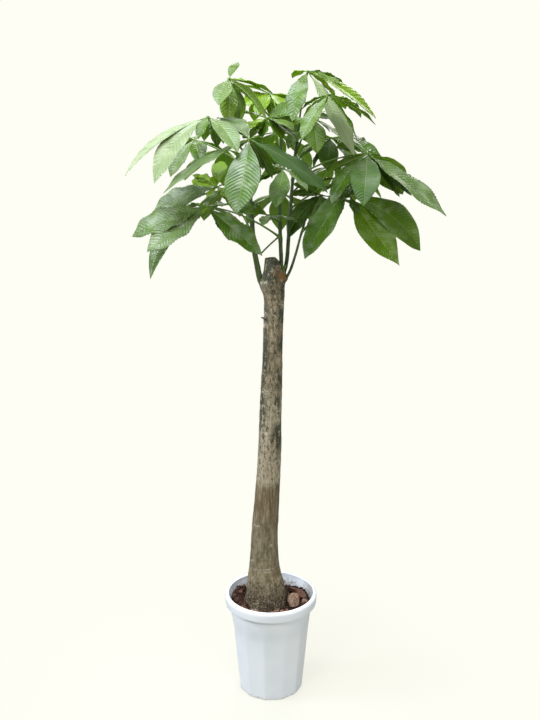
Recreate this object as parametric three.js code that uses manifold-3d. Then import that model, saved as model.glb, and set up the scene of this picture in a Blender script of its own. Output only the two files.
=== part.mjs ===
// Potted money tree (Pachira aquatica): a grey trunk that was cut off at the top, the green
// leafy shoots that sprouted round the cut, and the twelve-sided white pot of soil it stands in.
//
// Units are millimetres and +Z is up. The origin is the centre of the pot's foot, on the floor.
// The show side faces -Y and +X is at the viewer's right.

import * as THREE from 'three';
import { mergeVertices } from 'three/addons/utils/BufferGeometryUtils.js';
import Module from 'manifold-3d';

const wasm = await Module();
wasm.setup();

// ---------------------------------------------------------------------------
// Driving dimensions
// ---------------------------------------------------------------------------

const FIT_GAP = 0.3; // clearance between two pieces that touch

const POT = {
  height: 270,
  rimRadius: 120, // outside of the collar, a 24 cm pot
  mouthRadius: 109.5,
  collarHeight: 27,
  collarWall: 3,
  grooveTop: 9, // the gap behind the collar ends this far below the rim
  draft: 1.5, // how much the collar and the mouth widen upwards
  lipRound: 6, // width of the rounded outer shoulder of the lip
  neckRadius: 106, // body, just under the collar
  footRadius: 84,
  footChamfer: 2.5,
  wall: 3,
  facets: 12,
  facetEdge: 20, // degrees from the front to one upright edge
  facetFull: 170, // the facets are full below this height
  facetNone: 215, // and gone above this one
  drainHoles: 6,
  drainRadius: 6,
  drainCircle: 52,
  roundSteps: 24, // two to a facet
};

const SOIL = {
  level: 240,
  heap: 13, // extra height of the heap at the left
  heapCentre: -8,
  heapInner: 45, // the heap starts this far from its centre line
  heapOuter: 100,
  rightShare: 0.5, // the heap at the right is this share of the left one
  bump: 2.2,
  rings: [100, 86, 70],
  facetSlack: 1.4, // keeps the soil off the pot's wall where the facets fade
};

// Bark chips: [x, y, length, width, thickness, turn, tilt], in millimetres and degrees.
const BARK_CHIPS = [
  [59, -24, 34, 42, 12, 10, 58],
  [87, -18, 22, 16, 8, 74, 18],
  [-72, -52, 24, 20, 8, 25, 30],
  [-42, -74, 26, 24, 9, -20, 42],
  [4, -80, 20, 16, 7, 12, 30],
  [38, -70, 32, 20, 8, 8, 32],
  [82, 14, 42, 22, 10, 118, -24],
  [66, 48, 40, 20, 9, 150, 22],
  [22, 78, 30, 20, 8, 170, -12],
  [-34, 76, 32, 20, 9, 60, 10],
  [-84, 30, 28, 18, 8, 110, 14],
  [-90, -14, 24, 16, 7, 80, -16],
];
const CHIP_FORM = {
  cornerTrim: 0.62, // least share of a corner's reach that is left
  cornerVary: 0.2,
  sideTrim: 0.86,
  sideVary: 0.14,
  bulge: 0.12, // unevenness of the faces, as a share of the thickness
  lift: 0.2, // how far the middle lies above the soil, as a share of the thickness
  stand: 0.35, // and how much more when the chip stands on edge, as a share of the width
};

// Trunk stations from the buried foot to the cut top: [x, y, z, diameter].
const TRUNK_STATIONS = [
  [-13, 0, 140, 84],
  [-13, 0, 205, 110],
  [-13, 0, 238, 116],
  [-14, 0, 262, 105],
  [-14, 0, 290, 96],
  [-15, 0, 318, 88],
  [-16, 0, 353, 76],
  [-16, 0, 415, 69],
  [-13, 0, 470, 66],
  [-9, 0, 526, 63],
  [-6, 0, 606, 60],
  [-3, 0, 687, 57],
  [0, 0, 792, 53],
  [5, 0, 920, 48.5],
  [8, 0, 1000, 48],
  [9, 0, 1050, 49],
  [7, 0, 1092, 53],
  [9, 0, 1120, 51],
  [10, 0, 1146, 47],
];
const TRUNK = {
  sides: 16,
  ringsPerStation: 2,
  rootLobes: 5,
  rootRelief: 4,
  rootFull: 260, // the root lobes are full up to this height
  rootNone: 340, // and gone above this one
  barkRelief: 1,
  cutTop: 1146, // height of the cut at the left
  cutSlope: 0.75, // how fast the cut falls away to the right
  cutRidge: 6, // x where it starts to fall
  cutStart: 1080,
};
// Swellings where shoots break out of the bark: [bearing, z, height of the bump, reach up and down].
const TRUNK_BUMPS = [
  [200, 1082, 9, 20],
  [-12, 1108, 7, 16],
];

// Green shoots: the points they pass through, and their diameter at the root and at the tip.
const SHOOTS = {
  left: {
    points: [[-8, 0, 1062], [-24, -2, 1092], [-32, -4, 1125], [-40, -6, 1170], [-45, -10, 1243],
      [-50, -18, 1330], [-56, -30, 1402]],
    root: 17,
    tip: 7,
  },
  centre: {
    points: [[20, -2, 1085], [25, -8, 1122], [23, -5, 1180], [21, 0, 1250], [22, 4, 1350],
      [24, 10, 1455]],
    root: 11,
    tip: 6.5,
  },
  right: {
    points: [[22, 4, 1085], [37, 10, 1130], [42, 12, 1190], [46, 14, 1250], [53, 18, 1345],
      [64, 24, 1450]],
    root: 10.5,
    tip: 6.5,
  },
  thin: {
    points: [[26, -6, 1082], [44, -8, 1112], [57, -8, 1150], [68, -8, 1190], [80, -6, 1232]],
    root: 7,
    tip: 5,
  },
};
const SHOOT = { sides: 8, rings: 9, tipRound: 0.62 };

// Fronds. Each leaves its shoot at a height, its petiole ends in the hub, and from the hub hang
// the leaflets: [bearing, drop, length, roll] in degrees and millimetres. A bearing is turned from
// +X towards +Y, a drop is below the horizon, and a roll turns the blade about its midrib. Broad
// is the width of a leaflet and arch the height of its bow, both as shares of its length. A fifth
// number, where there is one, is the leaflet's own arch.
const FRONDS = [
  {
    name: 'frond_left_high', shoot: 'left', from: 1385, hub: [-139, -90, 1472],
    broad: 0.32, arch: 0.1,
    leaflets: [[-174, 34, 226, -12], [-149, 46, 194, -25], [-58, 29, 149, 10], [100, 30, 105, 0],
      [70, 34, 104, 0]],
  },
  {
    name: 'frond_left_behind', shoot: 'left', from: 1352, hub: [-178, 30, 1420],
    broad: 0.36, arch: 0.08,
    leaflets: [[-130, 44, 116, -15], [-79, 30, 104, 0], [154, 46, 105, -10], [106, 6, 125, 0],
      [30, 24, 92, 0]],
  },
  {
    name: 'frond_front_centre', shoot: 'centre', from: 1345, hub: [-47, -160, 1426],
    broad: 0.42, arch: 0.05,
    leaflets: [[-104, 55, 182, 0], [-17, 32, 207, 11], [120, -18, 147, 0], [-171, 31, 218, -6],
      [84, 4, 104, 0]],
  },
  {
    name: 'frond_left_low', shoot: 'centre', from: 1195, hub: [-140, -130, 1279],
    broad: 0.38, arch: 0.03,
    leaflets: [[-28, 36, 170, 25], [-161, 19, 182, -36], [-143, 29, 180, -28], [-169, 50, 206, -20, 0.15],
      [112, 6, 120, 0], [53, 2, 112, 0]],
  },
  {
    name: 'frond_crown_left', shoot: 'centre', from: 1440, hub: [-94, -30, 1556],
    broad: 0.38, arch: 0.06,
    leaflets: [[75, -28, 84, 0], [-102, 31, 112, 0], [-5, 77, 100, 85], [-35, 41, 139, -45],
      [24, 16, 112, 0]],
  },
  {
    name: 'frond_crown_right', shoot: 'right', from: 1440, hub: [83, -30, 1572],
    broad: 0.3, arch: 0.07,
    leaflets: [[110, 6, 96, 0], [-109, 44, 156, 0], [-30, 57, 218, 10, 0.04], [3, 33, 188, 25],
      [38, 17, 118, 0], [70, 10, 126, 0]],
  },
  {
    name: 'frond_right_high', shoot: 'right', from: 1418, hub: [125, -130, 1519],
    broad: 0.33, arch: 0.07,
    leaflets: [[-130, 45, 132, 0], [6, 31, 122, 0], [150, 24, 72, 0], [38, 26, 108, 0]],
  },
  {
    name: 'frond_right_middle', shoot: 'right', from: 1332, hub: [217, -70, 1393],
    broad: 0.36, arch: 0.05,
    leaflets: [[-98, 36, 178, 0], [-10, 37, 228, 18, 0.03], [40, 42, 152, 62], [110, -18, 122, 0],
      [66, 28, 128, -50], [90, 8, 118, -30], [-147, 48, 146, -10]],
  },
  {
    name: 'frond_right_low', shoot: 'thin', from: 1210, hub: [184, -30, 1295],
    broad: 0.42, arch: 0,
    leaflets: [[-36, 48, 202, 27], [-3, 37, 209, 46, 0.08], [97, -4, 121, 0], [139, 18, 104, 0],
      [50, 10, 150, 0]],
  },
  {
    name: 'frond_right_inner', shoot: 'right', from: 1262, hub: [189, -8, 1337],
    broad: 0.36, arch: 0.02,
    leaflets: [[-145, 53, 226, -6], [-112, 30, 100, 0], [150, 10, 108, 0], [96, -8, 126, 0]],
  },
  {
    name: 'frond_centre_small', shoot: 'centre', from: 1300, hub: [28, -70, 1360],
    broad: 0.36, arch: 0.06,
    leaflets: [[-100, 38, 128, 0], [-170, 28, 84, 0], [-40, 34, 86, 0], [105, -30, 76, 0]],
  },
  {
    name: 'frond_centre_right', shoot: 'right', from: 1212, hub: [122, 56, 1290],
    broad: 0.38, arch: 0.06,
    leaflets: [[-150, 46, 134, -30], [166, 40, 112, 0], [98, 26, 140, 0], [28, 20, 130, 0]],
  },
  {
    name: 'frond_centre_low', shoot: 'centre', from: 1230, hub: [-6, -30, 1250],
    broad: 0.38, arch: 0.06,
    leaflets: [[-178, -8, 84, -40], [-100, 12, 74, 0], [-20, 10, 76, 0]],
  },
  {
    name: 'frond_crown_middle', shoot: 'centre', from: 1425, hub: [-8, -12, 1470],
    broad: 0.42, arch: 0.06,
    leaflets: [[-50, 16, 96, 0], [-8, 6, 84, 40], [40, -16, 104, 20], [-130, 20, 84, 0],
      [150, -6, 104, 0]],
  },
  {
    name: 'frond_crown_back', shoot: 'centre', from: 1448, hub: [-2, 150, 1528],
    broad: 0.38, arch: 0.06,
    leaflets: [[160, 22, 116, 0], [112, 30, 128, 0], [52, 28, 122, 0], [-8, 16, 112, 0],
      [-168, -12, 96, 0], [-60, 26, 104, 0], [-112, 32, 100, 0]],
  },
  {
    name: 'frond_inner_right', shoot: 'right', from: 1380, hub: [96, 52, 1472],
    broad: 0.42, arch: 0.06,
    leaflets: [[-178, 22, 92, 0], [-84, 42, 120, 0], [-20, 36, 120, 0], [82, -6, 112, 0],
      [134, 24, 104, 0]],
  },
  {
    name: 'frond_inner_back', shoot: 'right', from: 1366, hub: [146, 112, 1424],
    broad: 0.4, arch: 0.06,
    leaflets: [[-168, 30, 104, 0], [-96, 38, 122, 0], [-48, 38, 120, 0], [20, 22, 128, 0],
      [78, 6, 132, 0], [130, 24, 116, 0]],
  },
  {
    name: 'frond_inner_left', shoot: 'left', from: 1236, hub: [-130, 52, 1310],
    broad: 0.37, arch: 0.06,
    leaflets: [[-161, 18, 162, -36], [136, -16, 92, -10], [86, -32, 108, 0], [-62, 20, 76, 0],
      [30, 26, 84, 0]],
  },
  {
    name: 'frond_back_left', shoot: 'left', from: 1300, hub: [-112, 170, 1396],
    broad: 0.36, arch: 0.08,
    leaflets: [[96, 36, 170, 0], [142, 30, 165, 0], [48, 34, 150, 0], [-174, 26, 112, 0]],
  },
  {
    name: 'frond_back_middle', shoot: 'centre', from: 1392, hub: [14, 236, 1436],
    broad: 0.36, arch: 0.08,
    leaflets: [[92, 34, 178, 0], [44, 36, 162, 0], [140, 36, 160, 0], [-6, 22, 112, 0],
      [-172, 24, 112, 0]],
  },
  {
    name: 'frond_back_right', shoot: 'right', from: 1296, hub: [160, 206, 1352],
    broad: 0.36, arch: 0.08,
    leaflets: [[62, 36, 172, 0], [18, 32, 160, 0], [106, 32, 165, 0], [158, 26, 112, 0]],
  },
  {
    name: 'frond_back_low', shoot: 'centre', from: 1226, hub: [26, 170, 1288],
    broad: 0.36, arch: 0.08,
    leaflets: [[90, 42, 168, 0], [44, 36, 150, 0], [136, 36, 155, 0], [-170, 26, 110, 0]],
  },
  {
    name: 'frond_low_left', shoot: 'left', from: 1200, hub: [-116, 146, 1296],
    broad: 0.36, arch: 0.08,
    leaflets: [[118, 34, 156, 0], [168, 26, 140, 0], [72, 34, 135, 0], [-130, 24, 84, 0]],
  },
];
const PETIOLE = { root: 5, tip: 3, sides: 5, rings: 3, rise: 0.12 };
const HUB_RADIUS = 4.6;

// Leaflet form, as shares of the leaflet's length, and its thicknesses in millimetres.
const LEAFLET = {
  columns: 2,
  rows: 6,
  shortRows: 4,
  shortLength: 150, // leaflets under this length get the fewer rows
  stalk: 0.05,
  widest: 0.58,
  basePower: 1.15,
  tipPinch: 0.35,
  stalkHalf: 1.3,
  archVary: 0.04,
  sweep: 0.05,
  fold: 0.16,
  edgeThickness: 0.8,
  ribThickness: 1.9,
};

// ---------------------------------------------------------------------------
// Materials
// ---------------------------------------------------------------------------

const PLASTIC = new THREE.MeshStandardMaterial({ color: 0xd8dfe3, roughness: 0.35, metalness: 0 });
const EARTH = new THREE.MeshStandardMaterial({ color: 0x3a2a20, roughness: 0.95, metalness: 0 });
const CHIP = new THREE.MeshStandardMaterial({ color: 0x9c7358, roughness: 0.9, metalness: 0 });
const BARK = new THREE.MeshStandardMaterial({ color: 0x7b7362, roughness: 0.85, metalness: 0 });
const GREEN_STEM = new THREE.MeshStandardMaterial({ color: 0x6d8a3a, roughness: 0.5, metalness: 0 });
const LEAF = new THREE.MeshStandardMaterial({ color: 0x557a33, roughness: 0.4, metalness: 0 });

// ---------------------------------------------------------------------------
// Helpers
// ---------------------------------------------------------------------------

const radians = THREE.MathUtils.degToRad;
const { lerp, smoothstep } = THREE.MathUtils;

/** A repeatable number from 0 to 1 for a whole number, so that every build is alike. */
function chance(seed) {
  const wave = Math.sin(seed * 12.9898) * 43758.5453;
  return wave - Math.floor(wave);
}

/** Turns a closed three.js geometry into a solid that can be joined and cut. */
function solidOf(geometry) {
  const bare = geometry.clone();
  bare.deleteAttribute('normal');
  bare.deleteAttribute('uv');
  const merged = mergeVertices(bare, 1e-4);
  return new wasm.Manifold(new wasm.Mesh({
    numProp: 3,
    vertProperties: Float32Array.from(merged.attributes.position.array),
    triVerts: Uint32Array.from(merged.index.array),
  }));
}

/** Turns a solid back into a three.js geometry. */
function geometryOf(solid) {
  const mesh = solid.getMesh();
  const geometry = new THREE.BufferGeometry();
  geometry.setAttribute('position', new THREE.BufferAttribute(Float32Array.from(mesh.vertProperties), 3));
  geometry.setIndex(new THREE.BufferAttribute(Uint32Array.from(mesh.triVerts), 1));
  geometry.computeVertexNormals();
  return geometry;
}

/** Moves every vertex of a geometry with place(x, y, z), which returns the new position. */
function warp(geometry, place) {
  const position = geometry.attributes.position;
  for (let i = 0; i < position.count; i += 1) {
    const moved = place(position.getX(i), position.getY(i), position.getZ(i));
    position.setXYZ(i, moved.x, moved.y, moved.z);
  }
  return geometry;
}

/** A round body turned from [radius, height] points about the upright axis, from a start angle. */
function turned(outline, steps, start) {
  const points = outline.map(([radius, height]) => new THREE.Vector2(radius, height));
  return new THREE.LatheGeometry(points, steps, radians(start)).rotateX(Math.PI / 2);
}

/** A closed tapered tube along a curve. */
function taperedTube(curve, rootRadius, tipRadius, sides, rings) {
  const frames = curve.computeFrenetFrames(rings, false);
  const tube = new THREE.CylinderGeometry(1, 1, 1, sides, rings);
  return warp(tube, (across, height, depth) => {
    const ring = Math.round((height + 0.5) * rings);
    const radius = lerp(rootRadius, tipRadius, ring / rings);
    return curve.getPointAt(ring / rings)
      .addScaledVector(frames.normals[ring], depth * radius)
      .addScaledVector(frames.binormals[ring], across * radius);
  });
}

/** A closed thin sheet: two like grids back to back, and a strip round their edge. */
function thickSheet(columns, rows, place) {
  const grid = new THREE.PlaneGeometry(2, 1, columns, rows);
  const flat = grid.attributes.position;
  const points = [];
  for (const face of [1, -1]) {
    for (let i = 0; i < flat.count; i += 1) {
      points.push(...place(flat.getX(i), 0.5 - flat.getY(i), face).toArray());
    }
  }
  const front = Array.from(grid.index.array);
  const back = front.map((vertex) => vertex + flat.count).reverse();
  const wide = columns + 1;
  const edge = [];
  for (let i = 0; i < columns; i += 1) edge.push(rows * wide + i);
  for (let i = rows; i > 0; i -= 1) edge.push(i * wide + columns);
  for (let i = columns; i > 0; i -= 1) edge.push(i);
  for (let i = 0; i < rows; i += 1) edge.push(i * wide);
  const strip = edge.flatMap((here, i) => {
    const next = edge[(i + 1) % edge.length];
    return [here, here + flat.count, next + flat.count, here, next + flat.count, next];
  });
  const sheet = new THREE.BufferGeometry();
  sheet.setAttribute('position', new THREE.Float32BufferAttribute(points, 3));
  sheet.setIndex([...front, ...back, ...strip]);
  return sheet;
}

/** A named mesh from a geometry or a solid. */
function piece(name, shape, material) {
  const geometry = shape.isBufferGeometry ? shape : geometryOf(shape);
  const mesh = new THREE.Mesh(geometry, material);
  mesh.name = name;
  return mesh;
}

// ---------------------------------------------------------------------------
// Pot
// ---------------------------------------------------------------------------

/** How far a point of the pot's round section is drawn in to the flat facet, as a factor. */
function facetFactor(x, y, z) {
  const facetAngle = 360 / POT.facets;
  const fromFront = THREE.MathUtils.radToDeg(Math.atan2(x, -y));
  const fromEdge = THREE.MathUtils.euclideanModulo(fromFront - POT.facetEdge, facetAngle);
  const flat = Math.cos(radians(facetAngle / 2)) / Math.cos(radians(fromEdge - facetAngle / 2));
  return lerp(flat, 1, smoothstep(z, POT.facetFull, POT.facetNone));
}

function faceted(geometry) {
  return warp(geometry, (x, y, z) => {
    const factor = facetFactor(x, y, z);
    return new THREE.Vector3(x * factor, y * factor, z);
  });
}

/** Outside radius of the pot's body at a height, before its facets. */
function bodyRadius(z) {
  const neckHeight = POT.height - POT.collarHeight;
  return lerp(POT.footRadius, POT.neckRadius, z / neckHeight);
}

function makePot() {
  const { height, wall, footRadius, footChamfer, facetFull, facetNone, rimRadius, draft } = POT;
  const neck = height - POT.collarHeight;
  const grooveTop = height - POT.grooveTop;
  const insideCollar = rimRadius - POT.collarWall - draft;
  const floorCorner = bodyRadius(wall) - wall;
  const outline = [
    [0, 0],
    [footRadius - footChamfer, 0],
    [bodyRadius(footChamfer), footChamfer],
    [bodyRadius(facetFull), facetFull],
    [bodyRadius((facetFull + facetNone) / 2), (facetFull + facetNone) / 2],
    [bodyRadius(facetNone), facetNone],
    [POT.neckRadius, neck],
    [POT.neckRadius + draft, neck + 8],
    [insideCollar - 3, grooveTop + 1],
    [insideCollar, grooveTop],
    [insideCollar - 1, neck],
    [rimRadius - draft, neck],
    [rimRadius, grooveTop],
    [rimRadius - 0.8, height - 3.5],
    [rimRadius - 3.5, height - 0.5],
    [rimRadius - POT.lipRound, height],
    [POT.mouthRadius + 1.2, height - 0.4],
    [POT.mouthRadius, height - 2],
    [POT.mouthRadius - draft, height - 10],
    [POT.neckRadius + draft - wall, neck + 6],
    [POT.neckRadius - wall, neck],
    [bodyRadius(facetNone) - wall, facetNone],
    [bodyRadius(facetFull) - wall, facetFull],
    [floorCorner, wall + 1],
    [0, wall + 1],
  ];
  let pot = solidOf(faceted(turned(outline, POT.roundSteps, POT.facetEdge)));
  for (let i = 0; i < POT.drainHoles; i += 1) {
    const angle = (i / POT.drainHoles) * 2 * Math.PI;
    const hole = new THREE.CylinderGeometry(POT.drainRadius, POT.drainRadius, wall * 4, 10);
    hole.rotateX(Math.PI / 2);
    hole.translate(POT.drainCircle * Math.cos(angle), POT.drainCircle * Math.sin(angle), wall);
    pot = pot.subtract(solidOf(hole));
  }
  return pot;
}

// ---------------------------------------------------------------------------
// Trunk
// ---------------------------------------------------------------------------

const trunkCentre = new THREE.CatmullRomCurve3(
  TRUNK_STATIONS.map(([x, y, z]) => new THREE.Vector3(x, y, z)), false, 'catmullrom', 0.5);
const trunkGirth = new THREE.CatmullRomCurve3(
  TRUNK_STATIONS.map(([, , z, diameter]) => new THREE.Vector3(diameter / 2, 0, z)), false, 'catmullrom', 0.5);

/** Height of the slanted cut at the top of the trunk. */
function cutHeight(x) {
  return TRUNK.cutTop - TRUNK.cutSlope * Math.max(0, x - TRUNK.cutRidge);
}

/** How far the bark stands proud of the plain round trunk. */
function trunkRelief(angle, z) {
  const aboveSoil = smoothstep(z, SOIL.level, SOIL.level + 25);
  const lobes = Math.cos(TRUNK.rootLobes * angle + 0.6) * smoothstep(-z, -TRUNK.rootNone, -TRUNK.rootFull);
  const roots = TRUNK.rootRelief * lobes;
  const bark = TRUNK.barkRelief * (Math.sin(3 * angle + z / 90) + 0.7 * Math.sin(7 * angle - z / 37));
  let relief = (roots + bark) * aboveSoil;
  for (const [bearing, height, bump, reach] of TRUNK_BUMPS) {
    const facing = Math.max(0, Math.cos(angle - radians(bearing)));
    relief += bump * facing ** 2 * Math.exp(-(((z - height) / reach) ** 2));
  }
  return relief;
}

/** The trunk as a solid, with its surface moved out by a margin. */
function makeTrunk(margin = 0) {
  const rings = (TRUNK_STATIONS.length - 1) * TRUNK.ringsPerStation;
  const bole = new THREE.CylinderGeometry(1, 1, 1, TRUNK.sides, rings);
  warp(bole, (across, height, depth) => {
    const share = height + 0.5;
    const centre = trunkCentre.getPoint(share);
    const angle = Math.atan2(across, depth);
    const isAxis = Math.hypot(across, depth) < 0.5;
    const radius = isAxis ? 0 : trunkGirth.getPoint(share).x + trunkRelief(angle, centre.z) + margin;
    const x = centre.x + radius * Math.cos(angle);
    const y = centre.y + radius * Math.sin(angle);
    const lift = (centre.z - TRUNK.cutStart) / (TRUNK.cutTop - TRUNK.cutStart);
    const z = lift > 0 ? lerp(TRUNK.cutStart, cutHeight(x) + margin, lift) : centre.z - margin * (share === 0);
    return new THREE.Vector3(x, y, z);
  });
  return solidOf(bole);
}

// ---------------------------------------------------------------------------
// Soil and bark chips
// ---------------------------------------------------------------------------

/** Height of the soil's uneven top. */
function soilTop(x, y) {
  const out = smoothstep(Math.abs(x - SOIL.heapCentre), SOIL.heapInner, SOIL.heapOuter);
  const heap = SOIL.heap * out * (x < 0 ? 1 : SOIL.rightShare);
  const bumps = Math.sin(x / 9 + 1) * Math.cos(y / 11) + 0.6 * Math.sin((x + 2 * y) / 13);
  return SOIL.level + heap + SOIL.bump * bumps;
}

function makeSoil() {
  const inset = POT.wall + FIT_GAP;
  const floor = POT.wall + 1 + FIT_GAP;
  const edge = SOIL.level + 1;
  const outline = [
    [0, floor],
    [bodyRadius(floor) - inset, floor],
    [bodyRadius(POT.facetFull) - inset - SOIL.facetSlack, POT.facetFull],
    [bodyRadius(POT.facetNone) - inset - SOIL.facetSlack, POT.facetNone],
    [bodyRadius(SOIL.level - 6) - inset, SOIL.level - 6],
    ...SOIL.rings.map((radius) => [radius, edge]),
    [0, edge],
  ];
  const body = faceted(turned(outline, POT.roundSteps, POT.facetEdge));
  return solidOf(warp(body, (x, y, z) => new THREE.Vector3(x, y, z === edge ? soilTop(x, y) : z)));
}

/** One angular chip of bark, with its surface moved out by a margin. */
function makeChip([x, y, length, width, thickness, turn, tilt], index, margin = 0) {
  const block = new THREE.BoxGeometry(length, width, thickness, 2, 2, 1);
  warp(block, (a, b, c) => {
    const corner = Math.abs(a) > 1 && Math.abs(b) > 1;
    const key = index * 31 + Math.sign(a) * 7 + Math.sign(b) * 3 + Math.sign(c);
    const least = corner ? CHIP_FORM.cornerTrim : CHIP_FORM.sideTrim;
    const vary = corner ? CHIP_FORM.cornerVary : CHIP_FORM.sideVary;
    const trim = least + vary * chance(key);
    const rise = CHIP_FORM.bulge * thickness * (chance(key + 5) - 0.5);
    const grow = new THREE.Vector3(Math.sign(a), Math.sign(b), Math.sign(c)).multiplyScalar(margin);
    return new THREE.Vector3(a * trim, b * trim, c + rise).add(grow);
  });
  block.rotateX(radians(tilt));
  block.rotateZ(radians(turn));
  const standing = CHIP_FORM.stand * width * Math.abs(Math.sin(radians(tilt)));
  block.translate(x, y, soilTop(x, y) + CHIP_FORM.lift * thickness + standing);
  return solidOf(block);
}

// ---------------------------------------------------------------------------
// Shoots and fronds
// ---------------------------------------------------------------------------

function shootCurve(name) {
  return new THREE.CatmullRomCurve3(SHOOTS[name].points.map((point) => new THREE.Vector3(...point)));
}

function makeShoot(name, margin = 0) {
  const { root, tip } = SHOOTS[name];
  const curve = shootCurve(name);
  const stem = solidOf(taperedTube(curve, root / 2 + margin, tip / 2 + margin, SHOOT.sides, SHOOT.rings));
  const bud = new THREE.IcosahedronGeometry(tip * SHOOT.tipRound + margin, 0);
  const end = curve.getPoint(1);
  return stem.add(solidOf(bud.translate(end.x, end.y, end.z)));
}

/** The point of a shoot's axis at a height. */
function shootPointAt(name, z) {
  const curve = shootCurve(name);
  let low = 0;
  let high = 1;
  for (let i = 0; i < 24; i += 1) {
    const middle = (low + high) / 2;
    if (curve.getPoint(middle).z < z) low = middle;
    else high = middle;
  }
  return curve.getPoint(low);
}

/** Half width of a leaflet at a share of its length, where 1 is its widest. */
function bladeWidth(along) {
  const share = Math.max(0, (along - LEAFLET.stalk) / (1 - LEAFLET.stalk));
  const { widest, basePower } = LEAFLET;
  const tipPower = (basePower * (1 - widest)) / widest;
  const swell = (share / widest) ** basePower * ((1 - share) / (1 - widest)) ** tipPower;
  return swell * (1 - LEAFLET.tipPinch * share ** 8);
}

/** One leaflet: a thin arched blade that hangs from the hub. */
function makeLeaflet(hub, [bearing, drop, length, roll, ownArch], { broad, arch }, seed) {
  const heading = radians(bearing);
  const fall = radians(drop);
  const flat = new THREE.Vector3(Math.cos(heading), Math.sin(heading), 0);
  const along = flat.clone().multiplyScalar(Math.cos(fall)).setZ(-Math.sin(fall));
  const side = new THREE.Vector3(-Math.sin(heading), Math.cos(heading), 0);
  const up = new THREE.Vector3().crossVectors(along, side);
  const bladeSide = side.clone().applyAxisAngle(along, radians(roll));
  const bladeUp = up.clone().applyAxisAngle(along, radians(roll));
  const lift = (ownArch ?? arch) + LEAFLET.archVary * (chance(seed) - 0.5);
  const sweep = LEAFLET.sweep * (chance(seed + 0.5) - 0.5);
  const halfWidth = (length * broad) / 2;
  const rows = length < LEAFLET.shortLength ? LEAFLET.shortRows : LEAFLET.rows;
  return thickSheet(LEAFLET.columns, rows, (across, share, face) => {
    const bow = 4 * share * (1 - share) * length;
    const half = Math.max(LEAFLET.stalkHalf, halfWidth * bladeWidth(share));
    const thickness = lerp(LEAFLET.ribThickness, LEAFLET.edgeThickness, Math.abs(across));
    return hub.clone()
      .addScaledVector(along, length * share)
      .addScaledVector(up, lift * bow)
      .addScaledVector(bladeSide, sweep * bow + across * half)
      .addScaledVector(bladeUp, LEAFLET.fold * Math.abs(across) * half + (face * thickness) / 2);
  });
}

function makeFrond(frondForm, index) {
  const { shoot, from, hub, leaflets } = frondForm;
  const root = shootPointAt(shoot, from);
  const tip = new THREE.Vector3(...hub);
  const bend = root.clone().lerp(tip, 0.5);
  bend.z += PETIOLE.rise * root.distanceTo(tip);
  const path = new THREE.QuadraticBezierCurve3(root, bend, tip);
  const tube = taperedTube(path, PETIOLE.root / 2, PETIOLE.tip / 2, PETIOLE.sides, PETIOLE.rings);
  const knob = new THREE.IcosahedronGeometry(HUB_RADIUS, 0).translate(tip.x, tip.y, tip.z);
  let frond = solidOf(tube).add(solidOf(knob));
  leaflets.forEach((leaflet, number) => {
    frond = frond.add(solidOf(makeLeaflet(tip, leaflet, frondForm, index * 17 + number)));
  });
  return frond.subtract(makeShoot(shoot, FIT_GAP));
}

// ---------------------------------------------------------------------------
// The whole plant
// ---------------------------------------------------------------------------

const tree = new THREE.Group();

tree.add(piece('pot', makePot(), PLASTIC));

let soil = makeSoil().subtract(makeTrunk(FIT_GAP));
BARK_CHIPS.forEach((chip, index) => {
  soil = soil.subtract(makeChip(chip, index, FIT_GAP));
  tree.add(piece(`bark_chip_${index + 1}`, makeChip(chip, index), CHIP));
});
tree.add(piece('soil', soil, EARTH));

tree.add(piece('trunk', makeTrunk(), BARK));

for (const name of Object.keys(SHOOTS)) {
  tree.add(piece(`shoot_${name}`, makeShoot(name).subtract(makeTrunk(FIT_GAP)), GREEN_STEM));
}

FRONDS.forEach((frond, index) => {
  tree.add(piece(frond.name, makeFrond(frond, index), LEAF));
});

export default tree;
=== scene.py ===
"""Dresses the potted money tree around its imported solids.

Every solid of the frame is replaced by a finer piece of the same form: a fluted plastic pot,
crumbly potting mix, broken bark, a cracked trunk, green shoots and quilted palmate leaves.

The tables repeat the part's own named sizes in millimetres and degrees. The scene itself is in
metres, with +Z up, the show side towards -Y and +X at the viewer's right.
"""

from __future__ import annotations

import logging
import math
import random
from dataclasses import dataclass, field, replace
from enum import Enum, IntEnum
from typing import Callable, Iterable, Sequence

import bmesh
import bpy
from mathutils import Matrix, Quaternion, Vector, noise

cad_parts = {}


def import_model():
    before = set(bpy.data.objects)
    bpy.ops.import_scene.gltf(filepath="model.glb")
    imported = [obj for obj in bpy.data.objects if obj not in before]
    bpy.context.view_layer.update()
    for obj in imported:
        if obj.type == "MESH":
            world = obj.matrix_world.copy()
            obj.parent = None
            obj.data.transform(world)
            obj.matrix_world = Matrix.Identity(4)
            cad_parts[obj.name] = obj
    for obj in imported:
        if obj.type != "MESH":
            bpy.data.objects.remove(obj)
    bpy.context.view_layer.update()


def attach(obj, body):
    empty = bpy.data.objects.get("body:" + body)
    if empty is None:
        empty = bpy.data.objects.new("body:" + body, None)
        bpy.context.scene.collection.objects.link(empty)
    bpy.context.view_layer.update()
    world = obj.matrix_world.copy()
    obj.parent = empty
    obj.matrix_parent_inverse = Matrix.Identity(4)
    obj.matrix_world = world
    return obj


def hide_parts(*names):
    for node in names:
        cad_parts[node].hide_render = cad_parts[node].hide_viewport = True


log = logging.getLogger("money_tree")

MM = 0.001
Row = tuple[float, ...]
Point = tuple[float, float, float]
Colour = tuple[float, float, float, float]
Place = Callable[[float, float], Vector]
Reading = Callable[[float, float], float]
Mesh = bmesh.types.BMesh
Piece = bpy.types.Object
Material = bpy.types.Material
Socket = bpy.types.NodeSocket
Relief = tuple[Socket, float, float]
Inputs = dict[str | int, object]


class Slot(Enum):
    """The material slots."""

    POT = "pot_plastic"
    SOIL = "soil"
    CHIP = "bark_chip"
    BARK = "trunk_bark"
    STEM = "green_stem"
    LEAF = "leaf"


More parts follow.
